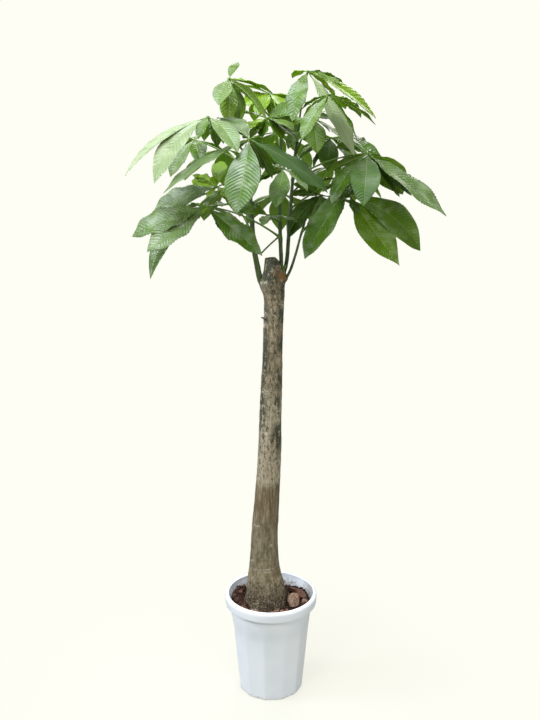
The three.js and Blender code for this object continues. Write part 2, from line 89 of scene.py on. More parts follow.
class Stem(Enum):
    """The four shoots that the fronds grow from."""

    LEFT = "left"
    CENTRE = "centre"
    RIGHT = "right"
    THIN = "thin"


class Skin(IntEnum):
    """Material numbers of a joined mesh. KEEP is for a part whose faces have theirs already."""

    KEEP = -1
    FIRST = 0
    UPPER = 0
    LOWER = 1
    CUT = 1
    STALK = 2


# ----- Driving sizes, as in the part -----

# Bark chips: x, y, length, width, thickness, turn, tilt, and how pale the chip is.
BARK_CHIPS: tuple[Row, ...] = (
    (59, -24, 34, 42, 12, 10, 58, 0.95), (87, -18, 22, 16, 8, 74, 18, 0.8),
    (-72, -52, 24, 20, 8, 25, 30, 0.1), (-42, -74, 26, 24, 9, -20, 42, 0.7),
    (4, -80, 20, 16, 7, 12, 30, 0.6), (38, -70, 32, 20, 8, 8, 32, 0.65),
    (82, 14, 42, 22, 10, 118, -24, 0.15), (66, 48, 40, 20, 9, 150, 22, 0.15),
    (22, 78, 30, 20, 8, 170, -12, 0.35), (-34, 76, 32, 20, 9, 60, 10, 0.2),
    (-84, 30, 28, 18, 8, 110, 14, 0.08), (-90, -14, 24, 16, 7, 80, -16, 0.08),
)
# Trunk stations from the buried foot to the cut top: x, y, z, diameter.
TRUNK_STATIONS: tuple[Row, ...] = (
    (-13, 0, 140, 84), (-13, 0, 205, 110), (-13, 0, 238, 116), (-14, 0, 262, 105), (-14, 0, 290, 96),
    (-15, 0, 318, 88), (-16, 0, 353, 76), (-16, 0, 415, 69), (-13, 0, 470, 66), (-9, 0, 526, 63),
    (-6, 0, 606, 60), (-3, 0, 687, 57), (0, 0, 792, 53), (5, 0, 920, 48.5), (8, 0, 1000, 48),
    (9, 0, 1050, 49), (7, 0, 1092, 53), (9, 0, 1120, 51), (10, 0, 1146, 47),
)
# Pale rings and scars across the bark: z, bearing of the middle, half spread in degrees, width.
TRUNK_SCARS: tuple[Row, ...] = (
    (1090, -150, 30, 4), (1036, -25, 22, 11), (1008, -158, 20, 8), (985, -160, 18, 6),
    (903, -20, 22, 8), (864, -50, 45, 2.2), (819, -130, 30, 4), (713, -130, 40, 2.4),
    (637, -50, 40, 1.6), (465, -140, 24, 1.4), (415, -62, 5, 3), (368, -150, 5, 3), (349, -95, 60, 1.1),
    (343, -80, 50, 0.8), (940, 110, 50, 3), (780, 70, 60, 2.4), (560, 100, 50, 2.6),
)
# Patches of algae on the bark, laid out the same way.
TRUNK_ALGAE: tuple[Row, ...] = (
    (1068, -30, 35, 20), (1006, -30, 35, 20), (937, -30, 40, 28), (765, -148, 30, 70),
    (990, -150, 22, 50), (700, -42, 36, 44), (850, -45, 30, 26), (790, -55, 26, 20),
    (895, -146, 28, 80), (1032, -40, 30, 30), (1110, -110, 60, 30), (1140, -80, 90, 8),
    (1090, -20, 40, 14), (950, 90, 60, 120), (600, 100, 60, 140),
)
# Swellings where shoots break out of the bark: bearing, z, height of the bump, reach up and down.
TRUNK_BUMPS: tuple[Row, ...] = ((200, 1082, 9, 20), (-12, 1108, 7, 16))
# The orange-brown callus at the right of the cut, laid out as the scars are.
TRUNK_CALLUS: tuple[Row, ...] = ((1114, -35, 36, 11),)


@dataclass(frozen=True)
class ShootForm:
    """A green shoot: the points it passes through, its two diameters and how corky its foot is."""

    points: tuple[Point, ...]
    root: float
    tip: float
    woody: float


SHOOTS: dict[Stem, ShootForm] = {
    Stem.LEFT: ShootForm(
        ((-8, 0, 1062), (-24, -2, 1092), (-32, -4, 1125), (-40, -6, 1170), (-45, -10, 1243),
         (-50, -18, 1330), (-56, -30, 1402)), 17, 7, 0.35),
    Stem.CENTRE: ShootForm(
        ((20, -2, 1085), (25, -8, 1122), (23, -5, 1180), (21, 0, 1250), (22, 4, 1350),
         (24, 10, 1455)), 11, 6.5, 0.25),
    Stem.RIGHT: ShootForm(
        ((22, 4, 1085), (37, 10, 1130), (42, 12, 1190), (46, 14, 1250), (53, 18, 1345),
         (64, 24, 1450)), 10.5, 6.5, 0.25),
    Stem.THIN: ShootForm(
        ((26, -6, 1082), (44, -8, 1112), (57, -8, 1150), (68, -8, 1190), (80, -6, 1232)),
        7, 5, 0.1),
}


@dataclass(frozen=True)
class FrondForm:
    """A palmate leaf: where it leaves its shoot, its hub, and the leaflets that hang from it.

    Broad is the width of a leaflet and arch the height of its bow, both as shares of its length.
    How far the frond is lime green stands partly for new growth and partly for a painted glow of
    light shining through the leaf, and crinkle is how wrinkled it is. Each leaflet is its bearing,
    drop, length and roll. The small inner ones, which the part leaves out, add how broad and how
    lime green they are. Traits set single leaflets apart from the rest by number: a painted sheen
    and shade above 0 is a painted grey sheen, and one below 0 is painted shade in a darker green.
    """

    name: str
    shoot: Stem
    leaves_at: float
    hub: Point
    broad: float
    arch: float
    young_and_backlit: float
    crinkle: float
    leaflets: tuple[Row, ...]
    inner: tuple[Row, ...] = ()
    traits: dict[int, dict[str, float]] = field(default_factory=dict)


# In the traits, a painted sheen and shade above 0 paints a leaflet with a grey sheen, and one below 0
# paints it with shade in a darker green.
FRONDS: tuple[FrondForm, ...] = (
    # The lime green shares paint partly new growth and partly a painted glow of light shining through
    # the leaf.
    FrondForm(
        "left_high", Stem.LEFT, 1385, (-139, -90, 1472), 0.32, 0.1, 0.25, 0.5,
        ((-174, 34, 226, -12), (-149, 46, 194, -25), (-58, 29, 149, 10), (100, 30, 105, 0),
         (70, 34, 104, 0)),
        ((-62, 55, 79, 0, 0.36, 0.1), (-107, 36, 78, 0, 0.34, 0.2)),
        {0: dict(painted_sheen_and_shade=0.85, crinkle=0.1, vein_gap=60, vein_wander=0), 1: dict(painted_sheen_and_shade=0.6, vein_gap=11),
         2: dict(painted_sheen_and_shade=0.35)}),
    FrondForm(
        "left_behind", Stem.LEFT, 1352, (-178, 30, 1420), 0.36, 0.08, 0.2, 0.5,
        ((-130, 44, 116, -15), (-79, 30, 104, 0), (154, 46, 105, -10), (106, 6, 125, 0),
         (30, 24, 92, 0)),
        ((-134, 55, 62, 20, 0.5, 0.1), (-48, 32, 48, 0, 0.45, 0.2)),
        {0: dict(painted_sheen_and_shade=0.35)}),
    FrondForm(
        "front_centre", Stem.CENTRE, 1345, (-47, -160, 1426), 0.42, 0.05, 0.1, 1,
        ((-104, 55, 182, 0), (-17, 32, 207, 11), (120, -18, 147, 0), (-171, 31, 218, -6),
         (84, 4, 104, 0)),
        ((122, 22, 58, 0, 0.4, 0.1), (70, 22, 80, 0, 0.45, 0.1), (118, -16, 82, 0, 0.4, 0.3),
         (64, 45, 94, 0, 0.34, 0.1), (50, 48, 116, 0, 0.3, 0.1)),
        {0: dict(painted_sheen_and_shade=0.14, crinkle=0.25), 1: dict(painted_sheen_and_shade=-1, fold=0.05, crinkle=1.6),
         2: dict(painted_sheen_and_shade=0.35), 3: dict(painted_sheen_and_shade=0.3, arch=0.015)}),
    FrondForm(
        "left_low", Stem.CENTRE, 1195, (-140, -130, 1279), 0.38, 0.03, 0.12, 2.2,
        ((-28, 36, 170, 25), (-161, 19, 182, -36), (-143, 29, 180, -28), (-169, 50, 206, -20),
         (112, 6, 120, 0), (53, 2, 112, 0)),
        ((-150, -18, 32, 0, 0.4, 1), (-118, 25, 28, 0, 0.4, 0.9), (45, 20, 46, 0, 0.4, 0.1),
         (-40, 48, 93, 0, 0.3, 0.05), (17, 23, 75, 20, 0.26, 0.1)),
        {0: dict(painted_sheen_and_shade=-0.2, widest=0.52), 1: dict(painted_sheen_and_shade=0.25), 2: dict(painted_sheen_and_shade=0.3),
         3: dict(arch=0.15, crinkle=0.3, vein_gap=12, vein_wander=0.1)}),
    FrondForm(
        "crown_left", Stem.CENTRE, 1440, (-94, -30, 1556), 0.38, 0.06, 0.25, 0.7,
        ((75, -28, 84, 0), (-102, 31, 112, 0), (-5, 77, 100, 85), (-35, 41, 139, -45),
         (24, 16, 112, 0)),
        ((52, 30, 84, 0, 0.4, 0.5), (25, 16, 84, 20, 0.36, 0.6), (-100, 79, 96, 0, 0.44, 0.5)),
        {0: dict(broad=0.28, crinkle=0.2), 1: dict(painted_sheen_and_shade=0.35, crinkle=0.4), 3: dict(painted_sheen_and_shade=0.25),
         4: dict(young_and_backlit=0.7)}),
    FrondForm(
        "crown_right", Stem.RIGHT, 1440, (83, -30, 1572), 0.3, 0.07, 0.15, 1,
        ((110, 6, 96, 0), (-109, 44, 156, 0), (-30, 57, 218, 10), (3, 33, 188, 25), (38, 17, 118, 0),
         (70, 10, 126, 0)),
        ((24, 26, 126, 20, 0.4, 0.3), (18, 42, 96, 0, 0.36, 0.7), (5, 31, 121, 30, 0.3, 0.4)),
        {0: dict(young_and_backlit=0.9), 1: dict(painted_sheen_and_shade=0.15), 2: dict(young_and_backlit=0.35, painted_sheen_and_shade=0.85, arch=0.04),
         3: dict(young_and_backlit=0.65, crinkle=0.35, vein_gap=14, vein_wander=0.1)}),
    FrondForm(
        "right_high", Stem.RIGHT, 1418, (125, -130, 1519), 0.33, 0.07, 0.2, 1,
        ((-130, 45, 132, 0), (6, 31, 122, 0), (150, 24, 72, 0), (38, 26, 108, 0)),
        ((58, 20, 84, 0, 0.42, 0.85), (118, 38, 58, 0, 0.4, 0.2), (-18, 56, 115, 0, 0.26, 0.1),
         (160, 40, 76, 0, 0.3, 0.5)),
        {0: dict(painted_sheen_and_shade=0.2)}),
    FrondForm(
        "right_middle", Stem.RIGHT, 1332, (217, -70, 1393), 0.36, 0.05, 0.12, 1,
        ((-98, 36, 178, 0), (-10, 37, 228, 18), (40, 42, 152, 62), (110, -18, 122, 0),
         (66, 28, 128, -50), (90, 8, 118, -30), (-147, 48, 146, -10)),
        ((158, 25, 104, 25, 0.34, 0.1), (135, -6, 94, 30, 0.4, 0.1), (18, 40, 150, 62, 0.24, 0.05),
         (33, 41, 145, -40, 0.5, 0.2)),
        {0: dict(painted_sheen_and_shade=-0.5, crinkle=1.1), 1: dict(painted_sheen_and_shade=0.25, arch=0.03, broad=0.4, crinkle=1.6),
         2: dict(crinkle=0.4), 4: dict(crinkle=0.5)}),
    FrondForm(
        "right_low", Stem.THIN, 1210, (184, -30, 1295), 0.42, 0, 0.1, 1,
        ((-36, 48, 202, 27), (-3, 37, 209, 46), (97, -4, 121, 0), (139, 18, 104, 0), (50, 10, 150, 0)),
        ((-70, 44, 56, 0, 0.42, 0.1),),
        {0: dict(young_and_backlit=0.34, painted_sheen_and_shade=0.04, widest=0.5), 1: dict(young_and_backlit=0.24, painted_sheen_and_shade=0.06, arch=0.08)}),
    FrondForm(
        "right_inner", Stem.RIGHT, 1262, (189, -8, 1337), 0.36, 0.02, 0.15, 1,
        ((-145, 53, 226, -6), (-112, 30, 100, 0), (150, 10, 108, 0), (96, -8, 126, 0)),
        ((166, -22, 64, 35, 0.42, 0.1), (146, 25, 88, 0, 0.42, 0.1), (84, 38, 78, 0, 0.42, 0.15)),
        {0: dict(painted_sheen_and_shade=-0.3, broad=0.39)}),
    FrondForm(
        "centre_small", Stem.CENTRE, 1300, (28, -70, 1360), 0.36, 0.06, 0.2, 1,
        ((-100, 38, 128, 0), (-170, 28, 84, 0), (-40, 34, 86, 0), (105, -30, 76, 0)),
        ((150, 26, 80, -35, 0.5, 0.55), (128, 0, 78, 0, 0.42, 0.3), (30, 32, 50, 20, 0.42, 0.15),
         (170, 27, 68, 0, 0.45, 0.5), (143, 27, 56, 20, 0.4, 0.4)),
        {0: dict(young_and_backlit=0.35, painted_sheen_and_shade=-0.35)}),
    FrondForm(
        "centre_right", Stem.RIGHT, 1212, (122, 56, 1290), 0.38, 0.06, 0.15, 1,
        ((-150, 46, 134, -30), (166, 40, 112, 0), (98, 26, 140, 0), (28, 20, 130, 0)),
        ((-168, 48, 110, -20, 0.5, 0.1), (-175, -22, 74, 45, 0.5, 0.25), (144, 28, 70, 0, 0.45, 0.1),
         (-58, 48, 56, 0, 0.42, 0.1), (-165, -3, 79, 40, 0.36, 0.1)),
        {0: dict(painted_sheen_and_shade=-0.3)}),
    FrondForm(
        "centre_low", Stem.CENTRE, 1230, (-6, -30, 1250), 0.38, 0.06, 0.2, 1,
        ((-178, -8, 84, -40), (-100, 12, 74, 0), (-20, 10, 76, 0)),
        ((164, -18, 78, -30, 0.4, 0.1), (-52, 12, 52, 0, 0.4, 0.1))),
    FrondForm(
        "crown_middle", Stem.CENTRE, 1425, (-8, -12, 1470), 0.42, 0.06, 0.5, 1,
        ((-50, 16, 96, 0), (-8, 6, 84, 40), (40, -16, 104, 20), (-130, 20, 84, 0), (150, -6, 104, 0)),
        ((-18, -9, 76, 35, 0.42, 0.15), (-34, 30, 96, 0, 0.42, 0.15), (-56, 38, 76, 0, 0.42, 0.2),
         (-134, 38, 72, 0, 0.42, 0.4), (-112, 53, 54, 20, 0.6, 0.2)),
        {0: dict(painted_sheen_and_shade=-0.4), 2: dict(painted_sheen_and_shade=-0.5), 3: dict(young_and_backlit=0.95)}),
    FrondForm(
        "crown_back", Stem.CENTRE, 1448, (-2, 150, 1528), 0.38, 0.06, 0.7, 0.45,
        ((160, 22, 116, 0), (112, 30, 128, 0), (52, 28, 122, 0), (-8, 16, 112, 0), (-168, -12, 96, 0),
         (-60, 26, 104, 0), (-112, 32, 100, 0)),
        ((-153, 20, 82, -45, 0.42, 0.95), (-116, 44, 68, 0, 0.46, 1), (-54, 40, 74, 0, 0.46, 1),
         (-10, 18, 68, 30, 0.4, 0.8), (-83, 70, 58, 0, 0.4, 0.9))),
    FrondForm(
        "inner_right", Stem.RIGHT, 1380, (96, 52, 1472), 0.42, 0.06, 0.6, 0.7,
        ((-178, 22, 92, 0), (-84, 42, 120, 0), (-20, 36, 120, 0), (82, -6, 112, 0), (134, 24, 104, 0)),
        ((-18, 36, 56, 0, 0.46, 0.75), (-132, 40, 110, 0, 0.42, 0.15), (20, 5, 70, 30, 0.4, 0.1),
         (-105, 22, 64, 0, 0.42, 0.3)),
        {1: dict(painted_sheen_and_shade=-0.4)}),
    FrondForm(
        "inner_back", Stem.RIGHT, 1366, (146, 112, 1424), 0.4, 0.06, 0.3, 0.6,
        ((-168, 30, 104, 0), (-96, 38, 122, 0), (-48, 38, 120, 0), (20, 22, 128, 0), (78, 6, 132, 0),
         (130, 24, 116, 0)),
        ((-160, 0, 74, 45, 0.45, 0.55), (-150, 28, 70, 0, 0.42, 0.2), (-118, 46, 72, 0, 0.42, 0.1),
         (-24, 30, 58, 0, 0.42, 0.2), (-155, 56, 86, 0, 0.34, 0.1), (-10, 20, 132, 40, 0.32, 0.1)),
        {1: dict(painted_sheen_and_shade=-0.5), 2: dict(painted_sheen_and_shade=-0.3)}),
    FrondForm(
        "inner_left", Stem.LEFT, 1236, (-130, 52, 1310), 0.37, 0.06, 0.6, 1.7,
        ((-161, 18, 162, -36), (136, -16, 92, -10), (86, -32, 108, 0), (-62, 20, 76, 0),
         (30, 26, 84, 0)),
        ((150, -10, 74, -50, 0.5, 1), (-126, 30, 44, 0, 0.42, 1), (-50, 38, 46, 0, 0.42, 1),
         (-104, -36, 46, 0, 0.4, 1), (-28, -14, 44, 0, 0.42, 0.8)),
        {0: dict(young_and_backlit=0.05, painted_sheen_and_shade=0.3), 2: dict(young_and_backlit=1.0, painted_sheen_and_shade=-0.4)}),
    FrondForm(
        "back_left", Stem.LEFT, 1300, (-112, 170, 1396), 0.36, 0.08, 0.3, 0.45,
        ((96, 36, 170, 0), (142, 30, 165, 0), (48, 34, 150, 0), (-174, 26, 112, 0))),
    FrondForm(
        "back_middle", Stem.CENTRE, 1392, (14, 236, 1436), 0.36, 0.08, 0.3, 0.45,
        ((92, 34, 178, 0), (44, 36, 162, 0), (140, 36, 160, 0), (-6, 22, 112, 0), (-172, 24, 112, 0))),
    FrondForm(
        "back_right", Stem.RIGHT, 1296, (160, 206, 1352), 0.36, 0.08, 0.25, 0.45,
        ((62, 36, 172, 0), (18, 32, 160, 0), (106, 32, 165, 0), (158, 26, 112, 0))),
    FrondForm(
        "back_low", Stem.CENTRE, 1226, (26, 170, 1288), 0.36, 0.08, 0.2, 0.45,
        ((90, 42, 168, 0), (44, 36, 150, 0), (136, 36, 155, 0), (-170, 26, 110, 0))),
    FrondForm(
        "low_left", Stem.LEFT, 1200, (-116, 146, 1296), 0.36, 0.08, 0.2, 0.45,
        ((118, 34, 156, 0), (168, 26, 140, 0), (72, 34, 135, 0), (-130, 24, 84, 0))),
)


# ----- Small sums and curves -----


def lerp(start: float, end: float, share: float) -> float:
    """A number between two others."""
    return start + (end - start) * share


def clamp(value: float) -> float:
    """A number held between 0 and 1."""
    return min(max(value, 0.0), 1.0)


def smoothstep(value: float, low: float, high: float) -> float:
    """0 below low, 1 above high and an eased slope between them."""
    share = clamp((value - low) / (high - low))
    return share * share * (3 - 2 * share)


def band(value: float, rise: float, full: float, fading: float, gone: float) -> float:
    """0 below rise, 1 from full to fading and 0 above gone, with eased slopes between them."""
    return smoothstep(value, rise, full) * (1 - smoothstep(value, fading, gone))


def chance(seed: float) -> float:
    """A repeatable number from 0 to 1, the same as the part's."""
    wave = math.sin(seed * 12.9898) * 43758.5453
    return wave - math.floor(wave)


def bell(value: float, middle: float, reach: float) -> float:
    """A smooth hump of height 1."""
    return math.exp(-(((value - middle) / reach) ** 2))


def rough(point: Vector, size: float, octaves: int = 3) -> float:
    """Fractal noise about 0 at a place, whose coarsest lumps have a size in millimetres."""
    return noise.fractal(point / size, 1.0, 2.0, octaves)


def tumbled(draw: random.Random, upright: float) -> Matrix:
    """A random turn, about an axis that is the nearer to upright the greater its height."""
    axis = Vector((draw.uniform(-1, 1), draw.uniform(-1, 1), upright)).normalized()
    return Quaternion(axis, draw.uniform(0, 6)).to_matrix().to_4x4()


class Spline:
    """A Catmull-Rom curve through points, with the part's own parameters."""

    def __init__(self, points: Iterable[Sequence[float]], centripetal: bool) -> None:
        """Keeps the points. The speed of a centripetal curve follows their spacing."""
        self.points = [Vector(point) for point in points]
        self.centripetal = centripetal

    def at(self, share: float) -> Vector:
        """The point of the curve at a share of its spans.

        Args:
            share: 0 at the first point and 1 at the last.

        Returns:
            The point.
        """
        points = self.points
        last = len(points) - 1
        place = clamp(share) * last
        index = min(int(place), last - 1)
        here, there = points[index], points[index + 1]
        before = points[index - 1] if index > 0 else here * 2 - there
        after = points[index + 2] if index + 2 <= last else there * 2 - here
        t = place - index
        if self.centripetal:
            gaps = [math.sqrt((b - a).length) for a, b in
                    ((before, here), (here, there), (there, after))]
            leave = ((here - before) / gaps[0] - (there - before) / (gaps[0] + gaps[1])
                     + (there - here) / gaps[1]) * gaps[1]
            arrive = ((there - here) / gaps[1] - (after - here) / (gaps[1] + gaps[2])
                      + (after - there) / gaps[2]) * gaps[1]
        else:
            leave = (there - before) * 0.5
            arrive = (after - here) * 0.5
        return (here + leave * t + (there * 3 - here * 3 - leave * 2 - arrive) * t ** 2
                + (here * 2 - there * 2 + leave + arrive) * t ** 3)

    def along(self, share: float) -> Vector:
        """The unit direction of the curve at a share of its spans."""
        step = 0.004
        return (self.at(share + step) - self.at(share - step)).normalized()

    def at_height(self, z: float) -> Vector:
        """The point at which a rising curve reaches a height.

        Args:
            z: The height.

        Returns:
            The point, found by halving the curve.
        """
        low, high = 0.0, 1.0
        for _ in range(24):
            middle = (low + high) / 2
            if self.at(middle).z < z:
                low = middle
            else:
                high = middle
        return self.at(low)


class Bow:
    """A quadratic curve from a root over a raised middle to a tip."""

    def __init__(self, root: Vector, tip: Vector, rise: float) -> None:
        """Keeps the three points that shape the curve."""
        self.root, self.tip = root, tip
        self.middle = root.lerp(tip, 0.5) + Vector((0, 0, rise * (tip - root).length))

    def at(self, share: float) -> Vector:
        """The point of the curve at a share from root to tip."""
        return self.root.lerp(self.middle, share).lerp(self.middle.lerp(self.tip, share), share)

    def along(self, share: float) -> Vector:
        """The unit direction of the curve at a share from root to tip."""
        ahead, behind = self.middle.lerp(self.tip, share), self.root.lerp(self.middle, share)
        return (ahead - behind).normalized()


# ----- Mesh building -----


def sheet(columns: int, rows: int, place: Place, marks: dict[str, Reading]) -> Mesh:
    """A flat grid moved into shape.

    Args:
        columns: Cells across the grid.
        rows: Cells along it.
        place: Gives a millimetre position for two shares from 0 to 1.
        marks: Numbers to keep on the vertices, by name, from the same two shares.

    Returns:
        The mesh, in metres.
    """
    bm = bmesh.new()
    bmesh.ops.create_grid(bm, x_segments=columns, y_segments=rows, size=0.5)
    layers = {name: bm.verts.layers.float.new(name) for name in marks}
    for vert in bm.verts:
        u, v = vert.co.x + 0.5, vert.co.y + 0.5
        for name, layer in layers.items():
            vert[layer] = marks[name](u, v)
        vert.co = place(u, v) * MM
    return bm


def wrapped(columns: int, rows: int, place: Place, marks: dict[str, Reading] | None = None) -> Mesh:
    """A grid rolled into a closed body: u goes round it, and it shuts to a point at both ends.

    Args:
        columns: Cells round the body.
        rows: Cells along it.
        place: As for a sheet, and so are the marks.
        marks: Numbers to keep on the vertices.

    Returns:
        The mesh, in metres.
    """
    bm = sheet(columns, rows, place, marks or {})
    bmesh.ops.remove_doubles(bm, verts=bm.verts, dist=1e-6)
    bmesh.ops.recalc_face_normals(bm, faces=bm.faces)
    return bm


def tube(curve: Spline | Bow, radius: Callable[[float], float], columns: int, rows: int,
         relief: Reading | None = None) -> Mesh:
    """A closed round stem along a curve.

    Args:
        curve: The axis.
        radius: The radius at a share of the axis, in millimetres.
        columns: Faces round the stem.
        rows: Faces along it.
        relief: Extra radius for an angle in radians and a share.

    Returns:
        The mesh, in metres.
    """
    cap = 1.5 / rows
    first = curve.along(0.5).orthogonal()

    def place(u: float, v: float) -> Vector:
        """A point of the stem, which shuts within its first and last rows."""
        share = clamp((v - cap) / (1 - 2 * cap))
        ahead = curve.along(share)
        side = (first - ahead * first.dot(ahead)).normalized()
        other = ahead.cross(side)
        angle = 2 * math.pi * u
        size = radius(share) + (relief(angle, share) if relief else 0.0)
        size *= min(1.0, v / cap, (1 - v) / cap)
        return curve.at(share) + (side * math.cos(angle) + other * math.sin(angle)) * size

    return wrapped(columns, rows, place)


def gather(parts: Iterable[tuple[Mesh, Skin]]) -> Mesh:
    """Joins meshes into one.

    Args:
        parts: Meshes, each with its material number.

    Returns:
        One mesh. The parts are freed.
    """
    whole = bmesh.new()
    for part, number in parts:
        if number is not Skin.KEEP:
            for face in part.faces:
                face.material_index = number
        mesh = bpy.data.meshes.new("part")
        part.to_mesh(mesh)
        part.free()
        whole.from_mesh(mesh)
        bpy.data.meshes.remove(mesh)
    return whole


def paint(bm: Mesh, name: str, read: Callable[[Vector], float]) -> Mesh:
    """Keeps a number on every vertex.

    Args:
        bm: The mesh.
        name: The number's name.
        read: Gives the number for a place in metres.

    Returns:
        The same mesh.
    """
    layer = bm.verts.layers.float.new(name)
    for vert in bm.verts:
        vert[layer] = read(vert.co)
    return bm


def settle(name: str, bm: Mesh, materials: Sequence[Material], sharp: float | None = None) -> Piece:
    """Makes a finished object at the origin from a mesh in place.

    Args:
        name: The object's name.
        bm: The mesh, which is freed.
        materials: Its materials in order.
        sharp: Edges that turn more than this many degrees stay sharp.

    Returns:
        The object, shaded smooth.
    """
    for face in bm.faces:
        face.smooth = True
    mesh = bpy.data.meshes.new(name)
    bm.to_mesh(mesh)
    bm.free()
    if sharp is not None:
        mesh.set_sharp_from_angle(angle=math.radians(sharp))
    for material in materials:
        mesh.materials.append(material)
    piece = bpy.data.objects.new(name, mesh)
    bpy.context.scene.collection.objects.link(piece)
    return piece


def register(piece: Piece, slot: Slot, *nodes: str) -> None:
    """Lets a piece ride on the plant and hides the nodes that it stands for.

    Args:
        piece: The finished piece.
        slot: The slot for it; not used.
        *nodes: The nodes of the frame that it replaces.
    """
    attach(piece, "root")
    if nodes:
        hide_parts(*nodes)
    log.info("%s: %d faces", piece.name, len(piece.data.polygons))


# ----- Materials -----

MATH = "ShaderNodeMath"
RANGE = "ShaderNodeMapRange"
SMOOTH = {"interpolation_type": "SMOOTHSTEP"}
TIMES = {"operation": "MULTIPLY"}
PLUS = {"operation": "ADD"}
ZIGZAG = {"operation": "PINGPONG"}


def linear(hex_colour: str) -> Colour:
    """Turns an sRGB hex colour to linear light.

    Args:
        hex_colour: A colour such as "#5e7a47".

    Returns:
        Red, green, blue and an alpha of 1.
    """
    shares = [int(hex_colour[i:i + 2], 16) / 255 for i in (1, 3, 5)]
    turned = [s / 12.92 if s <= 0.04045 else ((s + 0.055) / 1.055) ** 2.4 for s in shares]
    return (turned[0], turned[1], turned[2], 1.0)


class Nodes:
    """The node tree of a material or of the world, and the one way to add to it."""

    def __init__(self, owner: Material | bpy.types.World) -> None:
        """Empties a node tree.

        Args:
            owner: The material or the world that has it.
        """
        owner.use_nodes = True
        self.tree = owner.node_tree
        self.tree.nodes.clear()

    def add(self, kind: str, *values: object, named: Inputs | None = None, out: int | str = 0,
            **settings: object) -> Socket | None:
        """Adds a node with its settings and links.

        Args:
            kind: The node's type.
            *values: Values or output sockets for its first inputs, in order.
            named: The same for other inputs, by name or number.
            out: The name or number of the output that is wanted.
            **settings: Attributes of the node.

        Returns:
            That output, or None from a node without outputs.
        """
        node = self.tree.nodes.new(kind)
        for key, value in settings.items():
            setattr(node, key, value)
        for key, value in (dict(enumerate(values)) | (named or {})).items():
            if isinstance(value, Socket):
                self.tree.links.new(value, node.inputs[key])
            else:
                node.inputs[key].default_value = value
        return node.outputs[out] if node.outputs else None


class Finish(Nodes):
    """A material in the making, whose layers of colour are laid from the lowest up."""

    def __init__(self, name: str, colour: str, *marks: str) -> None:
        """Starts a material.

        Args:
            name: The material's name.
            colour: The lowest layer, as a hex colour.
            *marks: Names of the numbers that the mesh keeps on its vertices.
        """
        self.material = bpy.data.materials.new(name)
        super().__init__(self.material)
        self.place = self.add("ShaderNodeTexCoord", out="Object")
        self.marks = {mark: self.add("ShaderNodeAttribute", out="Fac", attribute_name=mark)
                      for mark in marks}
        self.colour: Socket | Colour = linear(colour)

    def blotches(self, size_mm: float, detail: float, cut: Row = (), stretch: float = 1.0,
                 swirl: float = 0.0) -> Socket:
        """Noise whose lumps have a real size.

        Args:
            size_mm: The size of a lump in millimetres.
            detail: How fine its finest part is.
            cut: Two levels between which the noise rises softly, and the two shares that it
                rises between if they aren't 0 and 1.
            stretch: How much longer the lumps are upwards.
            swirl: How much they swirl.

        Returns:
            The noise, or where there is a cut the share.
        """
        place = self.add("ShaderNodeMapping", self.place, named={"Scale": (1, 1, 1 / stretch)})
        lumps = self.add("ShaderNodeTexNoise", place, named={
            "Scale": 1 / (size_mm * MM), "Detail": detail, "Roughness": 0.6, "Distortion": swirl})
        return self.add(RANGE, lumps, *cut, **SMOOTH) if cut else lumps

    def lay(self, colour: str, *shares: Socket | float) -> None:
        """Lays a colour over what is there.

        Args:
            colour: The colour, in hex.
            *shares: How far it covers, as one share or the product of several.
        """
        share = shares[0]
        for other in shares[1:]:
            share = self.add(MATH, share, other, **TIMES)
        self.colour = self.add("ShaderNodeMix", share, out=2, data_type="RGBA",
                               named={6: self.colour, 7: linear(colour)})

    def close(self, roughness: Socket | float, ior: float, reliefs: Sequence[Relief],
              lit: tuple[float, Socket] | None = None, **more: object) -> Material:
        """Makes the surface of the layers and its relief, and hands over the material.

        Args:
            roughness: The roughness.
            ior: The index of refraction.
            reliefs: Height, depth in millimetres and strength of each relief, coarsest first.
            lit: How much light shines through, and its colour.
            **more: Other inputs of the surface, with _ for the spaces in their names.

        Returns:
            The material.
        """
        normal: Inputs = {}
        for height, deep_mm, strength in reliefs:
            normal = {"Normal": self.add("ShaderNodeBump", named={
                "Height": height, "Distance": deep_mm * MM, "Strength": strength, **normal})}
        others = {name.replace("_", " "): value for name, value in more.items()}
        shader = self.add("ShaderNodeBsdfPrincipled", named={
            "Base Color": self.colour, "Roughness": roughness, "IOR": ior, **normal, **others})
        if lit:
            behind = self.add("ShaderNodeBsdfTranslucent", lit[1], named=normal)
            shader = self.add("ShaderNodeMixShader", lit[0], shader, behind)
        self.add("ShaderNodeOutputMaterial", shader)
        return self.material


@dataclass(frozen=True)
class MouldedPolypropylene:
    """White polypropylene, injection moulded: satin, a little blue, faintly orange-peeled."""

    body: str = "#e8eef4"
    cool: str = "#e1e9f1"
    dust: str = "#8f8272"
    peel_mm: float = 2.2

    def make(self) -> Material:
        """Builds the material. The dust lies inside the wall near the soil and at the foot.

        Returns:
            The material.
        """
        f = Finish("white_moulded_polypropylene", self.body, "dust")
        f.lay(self.cool, f.blotches(90, 1, (0.3, 0.75)))
        f.lay(self.dust, f.marks["dust"], f.blotches(9, 5, (0.42, 0.68)))
        scuff = f.blotches(3, 4, (0.52, 0.72, 0.34, 0.5), 12)
        return f.close(scuff, 1.49, [(f.blotches(self.peel_mm, 2), 0.1, 0.3)])


